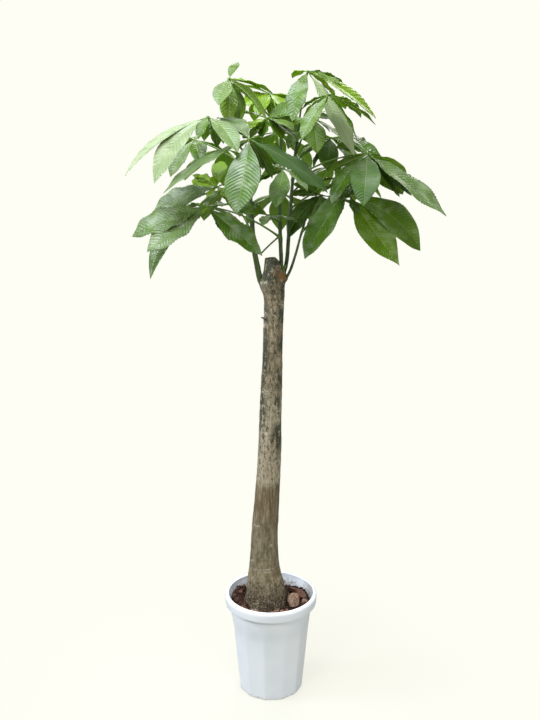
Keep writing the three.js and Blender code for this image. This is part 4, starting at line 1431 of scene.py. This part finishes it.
@dataclass
class Trunk:
    """The grey trunk: flared at the soil, cracked and scarred, and cut off aslant at the top."""

    root_lobes: int = 5
    root_relief: float = 4
    root_full: float = 260
    root_none: float = 340
    bark_relief: float = 1
    soil_level: float = 240
    cut_top: float = 1146
    cut_slope: float = 0.95
    cut_ridge: float = 10
    cut_start: float = 1080
    columns: int = 120
    rows: int = 460
    cap_rows: int = 12
    skin_from: Row = (225, 262)
    fissure: float = 0.75
    lump: float = 0.5
    coarse: float = 3
    coarse_edge: Row = (255, 330)
    wrinkled_band: Row = (285, 310, 380, 430)
    smooth_band: Row = (300, 345, 550, 590)
    pale_band: Row = (566, 590, 760, 900)
    streak_band: Row = (455, 480, 566, 576)
    streak_wander: float = 14
    damp_edge: Row = (262, 330)
    damp_ragged: float = 16
    scar_sink: float = 0.7
    saw_marks: float = 1.1
    cut_round: float = 1.6
    twig: tuple[Point, Point] = ((-8, -10, 996), (-23, -17, 1005))
    twig_radius: Row = (3.4, 1.9)

    def __post_init__(self) -> None:
        """Makes the two curves that give the centre and the girth."""
        self.centre = Spline([(x, y, z) for x, y, z, _ in TRUNK_STATIONS], centripetal=False)
        self.girth = Spline([(girth / 2, 0, z) for _, _, z, girth in TRUNK_STATIONS], centripetal=False)

    def form(self, angle: float, z: float) -> float:
        """How far the bark stands proud of the plain round trunk, as in the part.

        Args:
            angle: The bearing in radians.
            z: The height.

        Returns:
            Millimetres.
        """
        above = smoothstep(z, self.soil_level, self.soil_level + 25)
        lobes = math.cos(self.root_lobes * angle + 0.6)
        lobes *= smoothstep(-z, -self.root_none, -self.root_full)
        bark = self.bark_relief * (math.sin(3 * angle + z / 90) + 0.7 * math.sin(7 * angle - z / 37))
        relief = (self.root_relief * lobes + bark) * above
        for bearing, height, bump, reach in TRUNK_BUMPS:
            facing = max(0.0, math.cos(angle - math.radians(bearing)))
            relief += bump * facing ** 2 * bell(z, height, reach)
        return relief

    def on_bark(self, angle: float, z: float, marks: Iterable[Row]) -> float:
        """How strongly a place lies in one of several marks on the bark.

        Args:
            angle: The bearing in radians.
            z: The height.
            marks: Height, bearing, half spread in degrees and half height of each mark.

        Returns:
            A share from 0 to 1.
        """
        most = 0.0
        for height, bearing, spread, tall in marks:
            if abs(z - height) > 3 * tall:
                continue
            off = (math.degrees(angle) - bearing + 180) % 360 - 180
            most = max(most, bell(z, height + 0.04 * off, tall) * bell(off, 0, spread))
        return min(1.0, 1.5 * most)

    def skin(self, angle: float, z: float) -> float:
        """The bark's own relief: upright fissures, lumps and sunken scars.

        Args:
            angle: The bearing in radians.
            z: The height.

        Returns:
            Millimetres.
        """
        x, y = math.cos(angle) * 30, math.sin(angle) * 30
        ridge = 1 - 2 * abs(rough(Vector((x, y, z / 7)), 7, 3))
        coarse = 1 + self.coarse * (1 - smoothstep(z, *self.coarse_edge))
        wrinkle = band(z, *self.wrinkled_band)
        relief = self.fissure * coarse * 0.5 * (ridge - 0.6)
        relief += self.lump * coarse * rough(Vector((x, y, z)), 13, 4)
        relief += self.fissure * wrinkle * 0.8 * rough(Vector((x, y, z * 6)), 24, 3)
        return relief - self.scar_sink * self.on_bark(angle, z, TRUNK_SCARS)

    def build(self, finish: Material) -> None:
        """Builds the trunk and the twig stub on its left side.

        Args:
            finish: The bark.
        """
        total = self.rows + 2 * self.cap_rows

        def station(v: float) -> tuple[float, float]:
            """The share up the trunk, and how far out from its axis the row lies."""
            row = round(v * total)
            out = min(1.0, row / self.cap_rows, (total - row) / self.cap_rows)
            return clamp((row - self.cap_rows) / self.rows), out

        def place(u: float, v: float) -> Vector:
            """A point of the trunk, whose top slants down to the right from a ridge."""
            share, out = station(v)
            angle = 2 * math.pi * u
            centre = self.centre.at(share)
            skin = self.skin(angle, centre.z) * smoothstep(centre.z, *self.skin_from)
            radius = (self.girth.at(share).x + self.form(angle, centre.z) + skin) * out
            x, y = centre.x + radius * math.cos(angle), centre.y + radius * math.sin(angle)
            lift = (centre.z - self.cut_start) / (self.cut_top - self.cut_start)
            cut = self.cut_top - self.cut_slope * max(0.0, x - self.cut_ridge)
            z = lerp(self.cut_start, cut, lift) if lift > 0 else centre.z
            if share == 1:
                sawn = self.saw_marks * rough(Vector((x, y, 0)), 8, 4) * (1 - smoothstep(out, 0.9, 1))
                z += sawn - self.cut_round * smoothstep(out, 0.86, 1)
            return Vector((x, y, z))

        def mark(read: Reading) -> Reading:
            """A mark read from the bearing and the height, and nothing on the caps."""
            def at(u: float, v: float) -> float:
                """The mark for two shares of the grid."""
                share, out = station(v)
                angle = 2 * math.pi * u
                return read(angle, self.centre.at(share).z) if out == 1 else 0.0
            return at

        def streaks(angle: float, z: float) -> float:
            """Strong in one band that ends above in a wandering edge, and faint elsewhere."""
            rise, full, fading, gone = self.streak_band
            wander = self.streak_wander * rough(Vector((angle * 30, 0, z / 12)), 6)
            return lerp(0.3, 1, band(z, rise, full, fading - wander, gone - wander))

        def damp(angle: float, z: float) -> float:
            """Dark and wet above the soil, up to a ragged edge."""
            ragged = rough(Vector((math.cos(angle), math.sin(angle), z / 40)), 0.6)
            return 1 - smoothstep(z + self.damp_ragged * ragged, *self.damp_edge)

        bole = wrapped(self.columns, total, place, {
            "scar": mark(lambda a, z: self.on_bark(a, z, TRUNK_SCARS)),
            "algae": mark(lambda a, z: self.on_bark(a, z, TRUNK_ALGAE)),
            "smooth": mark(lambda a, z: band(z, *self.smooth_band)),
            "pale": mark(lambda a, z: band(z, *self.pale_band)),
            "streaks": mark(streaks),
            "damp": mark(damp),
            "callus": mark(lambda a, z: self.on_bark(a, z, TRUNK_CALLUS)),
            "cut": lambda u, v: smoothstep(-station(v)[1], -0.98, -0.9) * (v > 0.5),
        })
        register(settle("cut_trunk", bole, [finish], sharp=55), Slot.BARK, "trunk")
        root, tip = (Vector(end) for end in self.twig)
        twig = tube(Bow(root, tip, 0.04), lambda s: lerp(*self.twig_radius, s), 14, 12,
                    lambda a, s: 0.35 * math.sin(3 * a + 9 * s))
        register(settle("twig_stub", twig, [finish], sharp=55), Slot.BARK)


# ----- Shoots -----


@dataclass
class Shoot:
    """A green shoot: swollen where petioles leave it, ringed by old scars, with a bud at its tip."""

    stem: Stem
    columns: int = 20
    rows: int = 170
    swell: float = 0.2
    node_reach: float = 6
    scar_spacing: float = 31
    scar_swell: float = 0.07
    ribs: tuple[Row, ...] = ((0.16, 5, 11), (0.1, 3, -23))
    corky_from: Row = (1095, 1210)
    bud_scales: int = 3
    bud_length: float = 12

    def __post_init__(self) -> None:
        """Finds the shoot's form, its curve and the heights of its nodes."""
        self.form = SHOOTS[self.stem]
        self.curve = Spline(self.form.points, centripetal=True)
        self.nodes = [frond.leaves_at - 3 for frond in FRONDS if frond.shoot is self.stem]

    def radius(self, share: float) -> float:
        """The radius at a share of the shoot, with its swollen nodes and fine leaf scars.

        Args:
            share: 0 at the root and 1 at the tip.

        Returns:
            Millimetres.
        """
        z = self.curve.at(share).z
        plain = lerp(self.form.root, self.form.tip, share) / 2
        swollen = max((bell(z, node, self.node_reach) for node in self.nodes), default=0.0)
        ring = bell((z + 7) % self.scar_spacing, self.scar_spacing / 2, 1.6)
        return plain * (1 + self.swell * swollen + self.scar_swell * ring)

    def build(self, finish: Material) -> None:
        """Builds the stem and its bud.

        Args:
            finish: The stem's skin.
        """
        def ribs(angle: float, share: float) -> float:
            """Low ribs that wander round the stem."""
            return sum(deep * math.sin(count * angle + turns * share)
                       for deep, count, turns in self.ribs)

        def taper(share: float) -> float:
            """The radius of one scale of the bud."""
            return self.form.tip * 0.34 * (1 - share) ** 0.6 + 0.2

        def corky(spot: Vector) -> float:
            """How corky the stem has grown, most at its foot."""
            return self.form.woody * lerp(0.25, 1, 1 - smoothstep(spot.z / MM, *self.corky_from))

        parts = [(tube(self.curve, self.radius, self.columns, self.rows, ribs), Skin.FIRST)]
        end, ahead = self.curve.at(1), self.curve.along(1)
        for i in range(self.bud_scales):
            lean = Quaternion(ahead, 2.1 * i) @ ahead.orthogonal().normalized()
            tip = end + ahead * self.bud_length * (1 - 0.16 * i) + lean * (1.5 + i)
            parts.append((tube(Bow(end - ahead * 2, tip, 0.02), taper, 10, 12), Skin.FIRST))
        stem = paint(gather(parts), "woody", corky)
        name = f"shoot_{self.stem.value}"
        register(settle(f"green_{name}", stem, [finish], sharp=60), Slot.STEM, name)


# ----- Fronds -----


@dataclass
class Leaflet:
    """One quilted leaflet, arched out from the hub, with a groove above its midrib and a rib below."""

    hub: Vector
    bearing: float
    drop: float
    length: float
    roll: float
    broad: float
    arch: float
    # Lime green share: partly new growth, partly a painted glow of light through the leaf.
    young_and_backlit: float
    # Painted grey sheen above 0, painted shade below 0.
    painted_sheen_and_shade: float
    seed: float
    stalk: float = 0.05
    stalk_bare: float = 0.03
    stalk_radius: Row = (2.3, 1.1)
    least_half: float = 0.3
    widest: float = 0.58
    base_power: float = 1.15
    tip_pinch: float = 0.35
    arch_vary: float = 0.04
    sweep: float = 0.05
    fold: float = 0.2
    margin_droop: float = 0.07
    thickness: float = 0.8
    vein_gap: float = 8.5
    vein_wander: float = 0.3
    vein_lean: float = 0.47
    vein_curve: float = 0.33
    crinkle: float = 1.0
    pillow: float = 1.7
    pillow_full: float = 14
    puff_inner: float = 0.25
    puff_edge: Row = (0.2, 0.85)
    puff_vary: Row = (0.6, 1.3)
    puff_patch: float = 32
    wave: float = 1.7
    wave_full: float = 16
    groove: float = 0.45
    rib_height: float = 1.1
    quilted: Row = (0.06, 0.16, 0.9, 0.99)
    rib_edge: Row = (0.6, 3.5)
    columns: int = 20
    crowding: float = 1.3
    row_step: float = 1.75

    def __post_init__(self) -> None:
        """Turns the bearing, drop and roll into the leaflet's own directions."""
        heading, fall = math.radians(self.bearing), math.radians(self.drop)
        self.along = Vector((math.cos(heading) * math.cos(fall), math.sin(heading) * math.cos(fall),
                             -math.sin(fall)))
        side = Vector((-math.sin(heading), math.cos(heading), 0))
        self.up = self.along.cross(side)
        turn = Quaternion(self.along, math.radians(self.roll))
        self.blade_side, self.blade_up = turn @ side, turn @ self.up
        self.lift = self.arch + self.arch_vary * (chance(self.seed) - 0.5)
        self.bend = self.sweep * (chance(self.seed + 0.5) - 0.5)
        self.veins = max(7, round(self.length / self.vein_gap))

    def half_width(self, share: float) -> float:
        """Half the blade's width.

        Args:
            share: 0 at the hub and 1 at the tip.

        Returns:
            Millimetres.
        """
        run = max(0.0, (share - self.stalk) / (1 - self.stalk))
        tip_power = self.base_power * (1 - self.widest) / self.widest
        swell = (run / self.widest) ** self.base_power * ((1 - run) / (1 - self.widest)) ** tip_power
        return self.length * self.broad / 2 * swell * (1 - self.tip_pinch * run ** 8)

    def phase(self, across: float, share: float) -> float:
        """How many side veins a place lies past the base, which run forward as they go out.

        Args:
            across: -1 and 1 at the margins and 0 on the midrib.
            share: 0 at the hub and 1 at the tip.

        Returns:
            The count, a whole number on a vein.
        """
        lean = self.vein_lean * abs(across) + self.vein_curve * across ** 2
        forward = self.half_width(share) / self.length * lean
        spot = Vector((share * self.length, across * 30, 61 * self.seed))
        wander = self.vein_wander * rough(spot, 19, 2)
        return self.veins * (share - forward) + (0.5 if across < 0 else 0.0) + wander

    def spine(self, share: float) -> Vector:
        """A point of the midrib."""
        bow = 4 * share * (1 - share) * self.length
        return (self.hub + self.along * self.length * share + self.up * self.lift * bow
                + self.blade_side * self.bend * bow)

    def place(self, across: float, share: float) -> Vector:
        """A point of the blade's upper face: pillows between the veins, and waves at the margin.

        Args:
            across: -1 and 1 at the margins and 0 on the midrib.
            share: 0 at the hub and 1 at the tip.

        Returns:
            The point in millimetres.
        """
        half = max(self.least_half, self.half_width(share))
        out = abs(across)
        rib = smoothstep(out * half, *self.rib_edge)
        ends = band(share, *self.quilted)
        row = self.phase(across, share)
        spot = Vector((share * self.length, across * 20, 97 * self.seed))
        puff = lerp(self.puff_inner, 1, smoothstep(out, *self.puff_edge))
        puff *= lerp(*self.puff_vary, chance(self.seed + math.floor(row)))
        puff *= max(0.1, 0.8 + 1.2 * rough(spot, self.puff_patch, 2))
        swell = abs(math.sin(math.pi * row)) ** 0.75
        height = self.crinkle * self.pillow * min(1.0, half / self.pillow_full)
        height *= (swell - 0.5) * rib * puff * ends
        waves = 2 + 2 * chance(self.seed + 3)
        turn = 2 * math.pi * (share * waves + chance(self.seed + (5 if across > 0 else 7)))
        full = min(1.0, half / self.wave_full)
        height += self.crinkle * self.wave * full * out ** 2 * math.sin(turn)
        height += self.fold * out * half - self.margin_droop * out ** 3 * half
        height -= self.groove * bell(out * half, 0, 1.1)
        return self.spine(share) + self.blade_side * across * half + self.blade_up * height

    def build(self) -> Mesh:
        """Builds the blade with its two faces and its short stalk.

        Returns:
            A mesh with the numbers of its upper face, its lower face and its stalk.
        """
        rows = round(self.length / self.row_step)

        def spread(u: float, v: float) -> tuple[float, float]:
            """Turns the grid's shares to a place on the blade, closer spaced near the midrib."""
            across = 1 - 2 * u
            return math.copysign(abs(across) ** self.crowding, across), lerp(self.stalk_bare, 1, v)

        def rib(u: float, v: float) -> float:
            """Millimetres from the midrib, plus a little as the rib thins towards the tip."""
            across, share = spread(u, v)
            return abs(across) * max(self.least_half, self.half_width(share)) + 1.1 * share ** 2

        blade = sheet(self.columns, rows, lambda u, v: self.place(*spread(u, v)), {
            "vein": lambda u, v: self.phase(*spread(u, v)),
            "rib": rib,
            "painted_sheen_and_shade": lambda u, v: self.painted_sheen_and_shade,
            "young_and_backlit": lambda u, v: self.young_and_backlit,
        })
        shell = len(blade.verts)
        bmesh.ops.solidify(blade, geom=blade.faces[:], thickness=self.thickness * MM)
        blade.verts.ensure_lookup_table()
        rib_layer = blade.verts.layers.float["rib"]
        for vert in blade.verts[shell:]:
            share = (vert.co / MM - self.hub).dot(self.along) / self.length
            taper = 1 - 0.75 * clamp(share)
            vert.co -= self.blade_up * (self.rib_height * taper * bell(vert[rib_layer], 0, 1.5)) * MM
        blade.normal_update()
        for face in blade.faces:
            face.material_index = Skin.UPPER if face.normal.dot(self.blade_up) > 0 else Skin.LOWER
        path = Bow(self.hub, self.spine(self.stalk_bare + 0.05), 0)
        stalk = tube(path, lambda s: lerp(*self.stalk_radius, smoothstep(s, 0, 0.5)), 10, 8)
        return gather([(blade, Skin.KEEP), (stalk, Skin.STALK)])


@dataclass
class Frond:
    """A palmate leaf: a petiole with swollen ends, a small hub, and its leaflets."""

    form: FrondForm
    index: int
    shoot: Shoot
    root_radius: float = 2.5
    root_swell: float = 1.5
    tip_radius: float = 1.5
    tip_swell: float = 0.9
    rise: float = 0.12
    hub_radius: float = 4.4
    hub_flat: float = 0.72
    # Painted grey sheen for the part's own leaflets, and painted shade for the inner ones deep in the
    # crown.
    own_painted_sheen: float = 0.2
    inner_painted_shade: float = -0.4

    def leaflets(self) -> Iterable[Leaflet]:
        """The part's own leaflets, and then the small ones that it leaves out.

        Returns:
            The leaflets, in order.
        """
        form, hub = self.form, Vector(self.form.hub)
        for number, row in enumerate(form.leaflets):
            seed = self.index * 17 + number
            leaflet = Leaflet(hub, *row, form.broad, form.arch, form.young_and_backlit,
                              self.own_painted_sheen * chance(seed + 11), seed, crinkle=form.crinkle)
            yield replace(leaflet, **form.traits.get(number, {}))
        for number, (bearing, drop, length, roll, broad, young_and_backlit) in enumerate(form.inner):
            seed = self.index * 17 + number + 0.25
            yield Leaflet(hub, bearing, drop, length, roll, broad, form.arch, young_and_backlit,
                          self.inner_painted_shade * (1 - young_and_backlit) * chance(seed + 11), seed)

    def build(self, finishes: Sequence[Material]) -> None:
        """Builds the whole frond in one mesh.

        Args:
            finishes: The leaf's upper face, its lower face and the petiole's skin.
        """
        hub = Vector(self.form.hub)
        path = Bow(self.shoot.curve.at_height(self.form.leaves_at), hub, self.rise)

        def thick(share: float) -> float:
            """The petiole's radius, swollen where it leaves the shoot and under the hub."""
            ends = self.root_swell * bell(share, 0, 0.06) + self.tip_swell * bell(share, 1, 0.05)
            return lerp(self.root_radius, self.tip_radius, share) + ends

        knob = bmesh.new()
        flat = Matrix.Translation(hub * MM) @ Matrix.Diagonal((1, 1, self.hub_flat, 1))
        bmesh.ops.create_icosphere(knob, subdivisions=3, radius=self.hub_radius * MM, matrix=flat)
        parts = [(tube(path, thick, 14, 60), Skin.STALK), (knob, Skin.STALK)]
        parts += [(leaflet.build(), Skin.KEEP) for leaflet in self.leaflets()]
        piece = settle(f"palmate_{self.form.name}", gather(parts), finishes, sharp=70)
        register(piece, Slot.LEAF, f"frond_{self.form.name}")


@dataclass
class CutStalks:
    """What is left of petioles that were cut off: short stubs, each with a lime disc at its end."""

    shoot: Shoot
    stubs: tuple[tuple[float, Point, float], ...] = (
        (1398, (9.5, -14, 1417), 1.7),
        (1340, (-13.5, -15, 1366), 1.7),
        (1296, (6, 16, 1306), 1.7),
        (1200, (-24, -14, 1158), 2.0),
    )
    swell: float = 0.9
    disc_share: float = 2.1

    def build(self, finishes: Sequence[Material]) -> None:
        """Builds all the stubs.

        Args:
            finishes: The stem's skin and the fresh cut.
        """
        parts = []
        for leaves_at, tip, radius in self.stubs:
            end = Vector(tip)
            path = Bow(self.shoot.curve.at_height(leaves_at), end, 0.05)
            stub = tube(path, lambda s, r=radius: r + self.swell * bell(s, 0, 0.1), 12, 16)
            outward = path.along(1)
            face = Bow(end - outward * 0.9, end + outward * 1.1, 0)
            disc = tube(face, lambda s, r=self.disc_share * radius: r * (1 - 0.25 * s ** 3), 18, 8)
            parts += [(stub, Skin.FIRST), (disc, Skin.CUT)]
        register(settle("cut_stalks", gather(parts), finishes, sharp=50), Slot.STEM)


@dataclass
class BudCluster:
    """The knot of small green buds that breaks from the bark beside the cut."""

    middle: Point = (29, -13, 1124)
    buds: int = 9
    length: float = 13
    length_vary: Row = (0.55, 1.05)
    girth: float = 3.1
    girth_vary: Row = (0.6, 1)
    aims: tuple[Row, ...] = ((-0.5, 0.9), (-0.9, 0.3), (0.4, 1.1))
    spread: tuple[Row, ...] = ((-5, 5), (-4, 3), (-7, 3))
    seed: int = 21

    def build(self, finish: Material) -> None:
        """Builds the buds, each a small pointed swelling.

        Args:
            finish: The stem's skin.
        """
        draw = random.Random(self.seed)
        parts = []
        for _ in range(self.buds):
            aim = Vector([draw.uniform(*limits) for limits in self.aims]).normalized()
            start = Vector(self.middle) + Vector([draw.uniform(*limits) for limits in self.spread])
            long = self.length * draw.uniform(*self.length_vary)
            girth = self.girth * draw.uniform(*self.girth_vary)
            bud = tube(
                Bow(start, start + aim * long, 0.15),
                lambda s, g=girth: g * (1 - s) ** 0.6 * (0.72 + 0.6 * bell(s, 0.35, 0.3)), 12, 16)
            parts.append((bud, Skin.FIRST))
        register(settle("bud_cluster", gather(parts), [finish]), Slot.STEM)


# ----- Studio -----


@dataclass
class Softbox:
    """A soft square light aimed at the crown or the pot."""

    name: str
    place: Point
    target: Point
    size: float
    watts: float
    tone: str = "#fffdf8"

    def build(self) -> None:
        """Adds the light to the scene."""
        data = bpy.data.lights.new(self.name, "AREA")
        data.size, data.energy, data.color = self.size, self.watts, linear(self.tone)[:3]
        lamp = bpy.data.objects.new(self.name, data)
        lamp.location = self.place
        aim = Vector(self.target) - Vector(self.place)
        lamp.rotation_euler = aim.to_track_quat("-Z", "Y").to_euler()
        bpy.context.scene.collection.objects.link(lamp)


@dataclass
class Studio:
    """A plain pale room: one tone behind and below, with soft light from the left, front and top."""

    backdrop: str = "#fefef4"
    paper: str = "#cccbc0"
    ambient: float = 0.31
    floor_bounce: float = 0.3
    floor_radius: float = 9.0
    floor_gap: float = 0.0005
    shade_inner: float = 0.1
    shade_outer: float = 0.75
    shade_share: float = 0.25
    lights: tuple[Softbox, ...] = (
        Softbox("key", (-1.3, -2.3, 2.3), (0, 0, 0.9), 0.8, 36),
        Softbox("window", (-2.4, -0.2, 1.8), (0, 0, 1.3), 0.9, 60, "#f0f5ff"),
        Softbox("fill", (2.0, -1.9, 1.0), (0, 0, 0.8), 1.8, 31),
        Softbox("top", (-0.3, -0.5, 3.4), (0, 0, 1.2), 1.4, 112, "#f0f5ff"),
        Softbox("back", (0.5, 2.2, 2.4), (0, 0, 1.3), 1.6, 60),
    )

    def build(self) -> None:
        """Lights the room and lays its floor."""
        for light in self.lights:
            light.build()
        world = bpy.data.worlds.new("pale_room")
        bpy.context.scene.world = world
        room = Nodes(world)
        seen = room.add("ShaderNodeLightPath", out="Is Camera Ray")
        strength = room.add(RANGE, seen, 0, 1, self.ambient, 1)
        shine = room.add("ShaderNodeBackground", linear(self.backdrop), strength)
        room.add("ShaderNodeOutputWorld", shine)
        bm = bmesh.new()
        bmesh.ops.create_circle(bm, cap_ends=True, segments=96, radius=self.floor_radius)
        floor = settle("studio_floor", bm, [self.floor_finish()])
        floor.location.z = -self.floor_gap

    def floor_finish(self) -> Material:
        """A matt pale sweep that takes a soft shade by the pot and fades into the backdrop.

        Returns:
            The material.
        """
        f = Finish("matt_paper_sweep", self.paper)
        paper = f.add("ShaderNodeBsdfDiffuse", f.colour)
        seen = f.add("ShaderNodeLightPath", out="Is Camera Ray")
        strength = f.add(RANGE, seen, 0, 1, self.floor_bounce, 1, **SMOOTH)
        glow = f.add("ShaderNodeEmission", linear(self.backdrop), strength)
        away = f.add("ShaderNodeVectorMath", f.place, out="Value", operation="LENGTH")
        share = f.add(RANGE, away, self.shade_inner, self.shade_outer, self.shade_share, 0, **SMOOTH)
        f.add("ShaderNodeOutputMaterial", f.add("ShaderNodeMixShader", share, glow, paper))
        return f.material


@dataclass
class Viewpoint:
    """The photograph's camera, solved from the rim and the foot of the pot."""

    place: Point = (-0.002, -2.25, 1.466)
    tilt: float = 14.25
    lens: float = 47.25
    sensor: float = 36.0
    near: float = 0.05
    far: float = 60

    def build(self) -> None:
        """Adds the camera and makes it the scene's."""
        data = bpy.data.cameras.new("photo_camera")
        data.lens, data.sensor_width, data.sensor_fit = self.lens, self.sensor, "AUTO"
        data.clip_start, data.clip_end = self.near, self.far
        camera = bpy.data.objects.new("photo_camera", data)
        camera.location = self.place
        camera.rotation_euler = (math.radians(90 - self.tilt), 0, 0)
        bpy.context.scene.collection.objects.link(camera)
        bpy.context.scene.camera = camera


def main() -> None:
    """Builds the plant round its frame."""
    logging.basicConfig(level=logging.INFO, format="%(message)s")
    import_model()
    bpy.context.scene.view_settings.view_transform = "Standard"
    Viewpoint().build()
    Studio().build()

    pot = Pot()
    pot.build(MouldedPolypropylene().make())
    soil = Soil(pot)
    soil.build(PottingMix().make())
    chip_finish = BrokenPineBark().make()
    for index in range(len(BARK_CHIPS)):
        BarkChip(soil, index).build(chip_finish)
    Trunk().build(LivingBark().make())

    green = StemSkin().make()
    shoots = {stem: Shoot(stem) for stem in SHOOTS}
    for shoot in shoots.values():
        shoot.build(green)
    petiole = PETIOLE.make()
    leaf = [UPPER_LEAF.make(), LOWER_LEAF.make(), petiole]
    for index, form in enumerate(FRONDS):
        Frond(form, index, shoots[form.shoot]).build(leaf)
    CutStalks(shoots[Stem.CENTRE]).build([petiole, FRESH_CUT.make()])
    BudCluster().build(petiole)


if __name__ == "__main__":
    main()
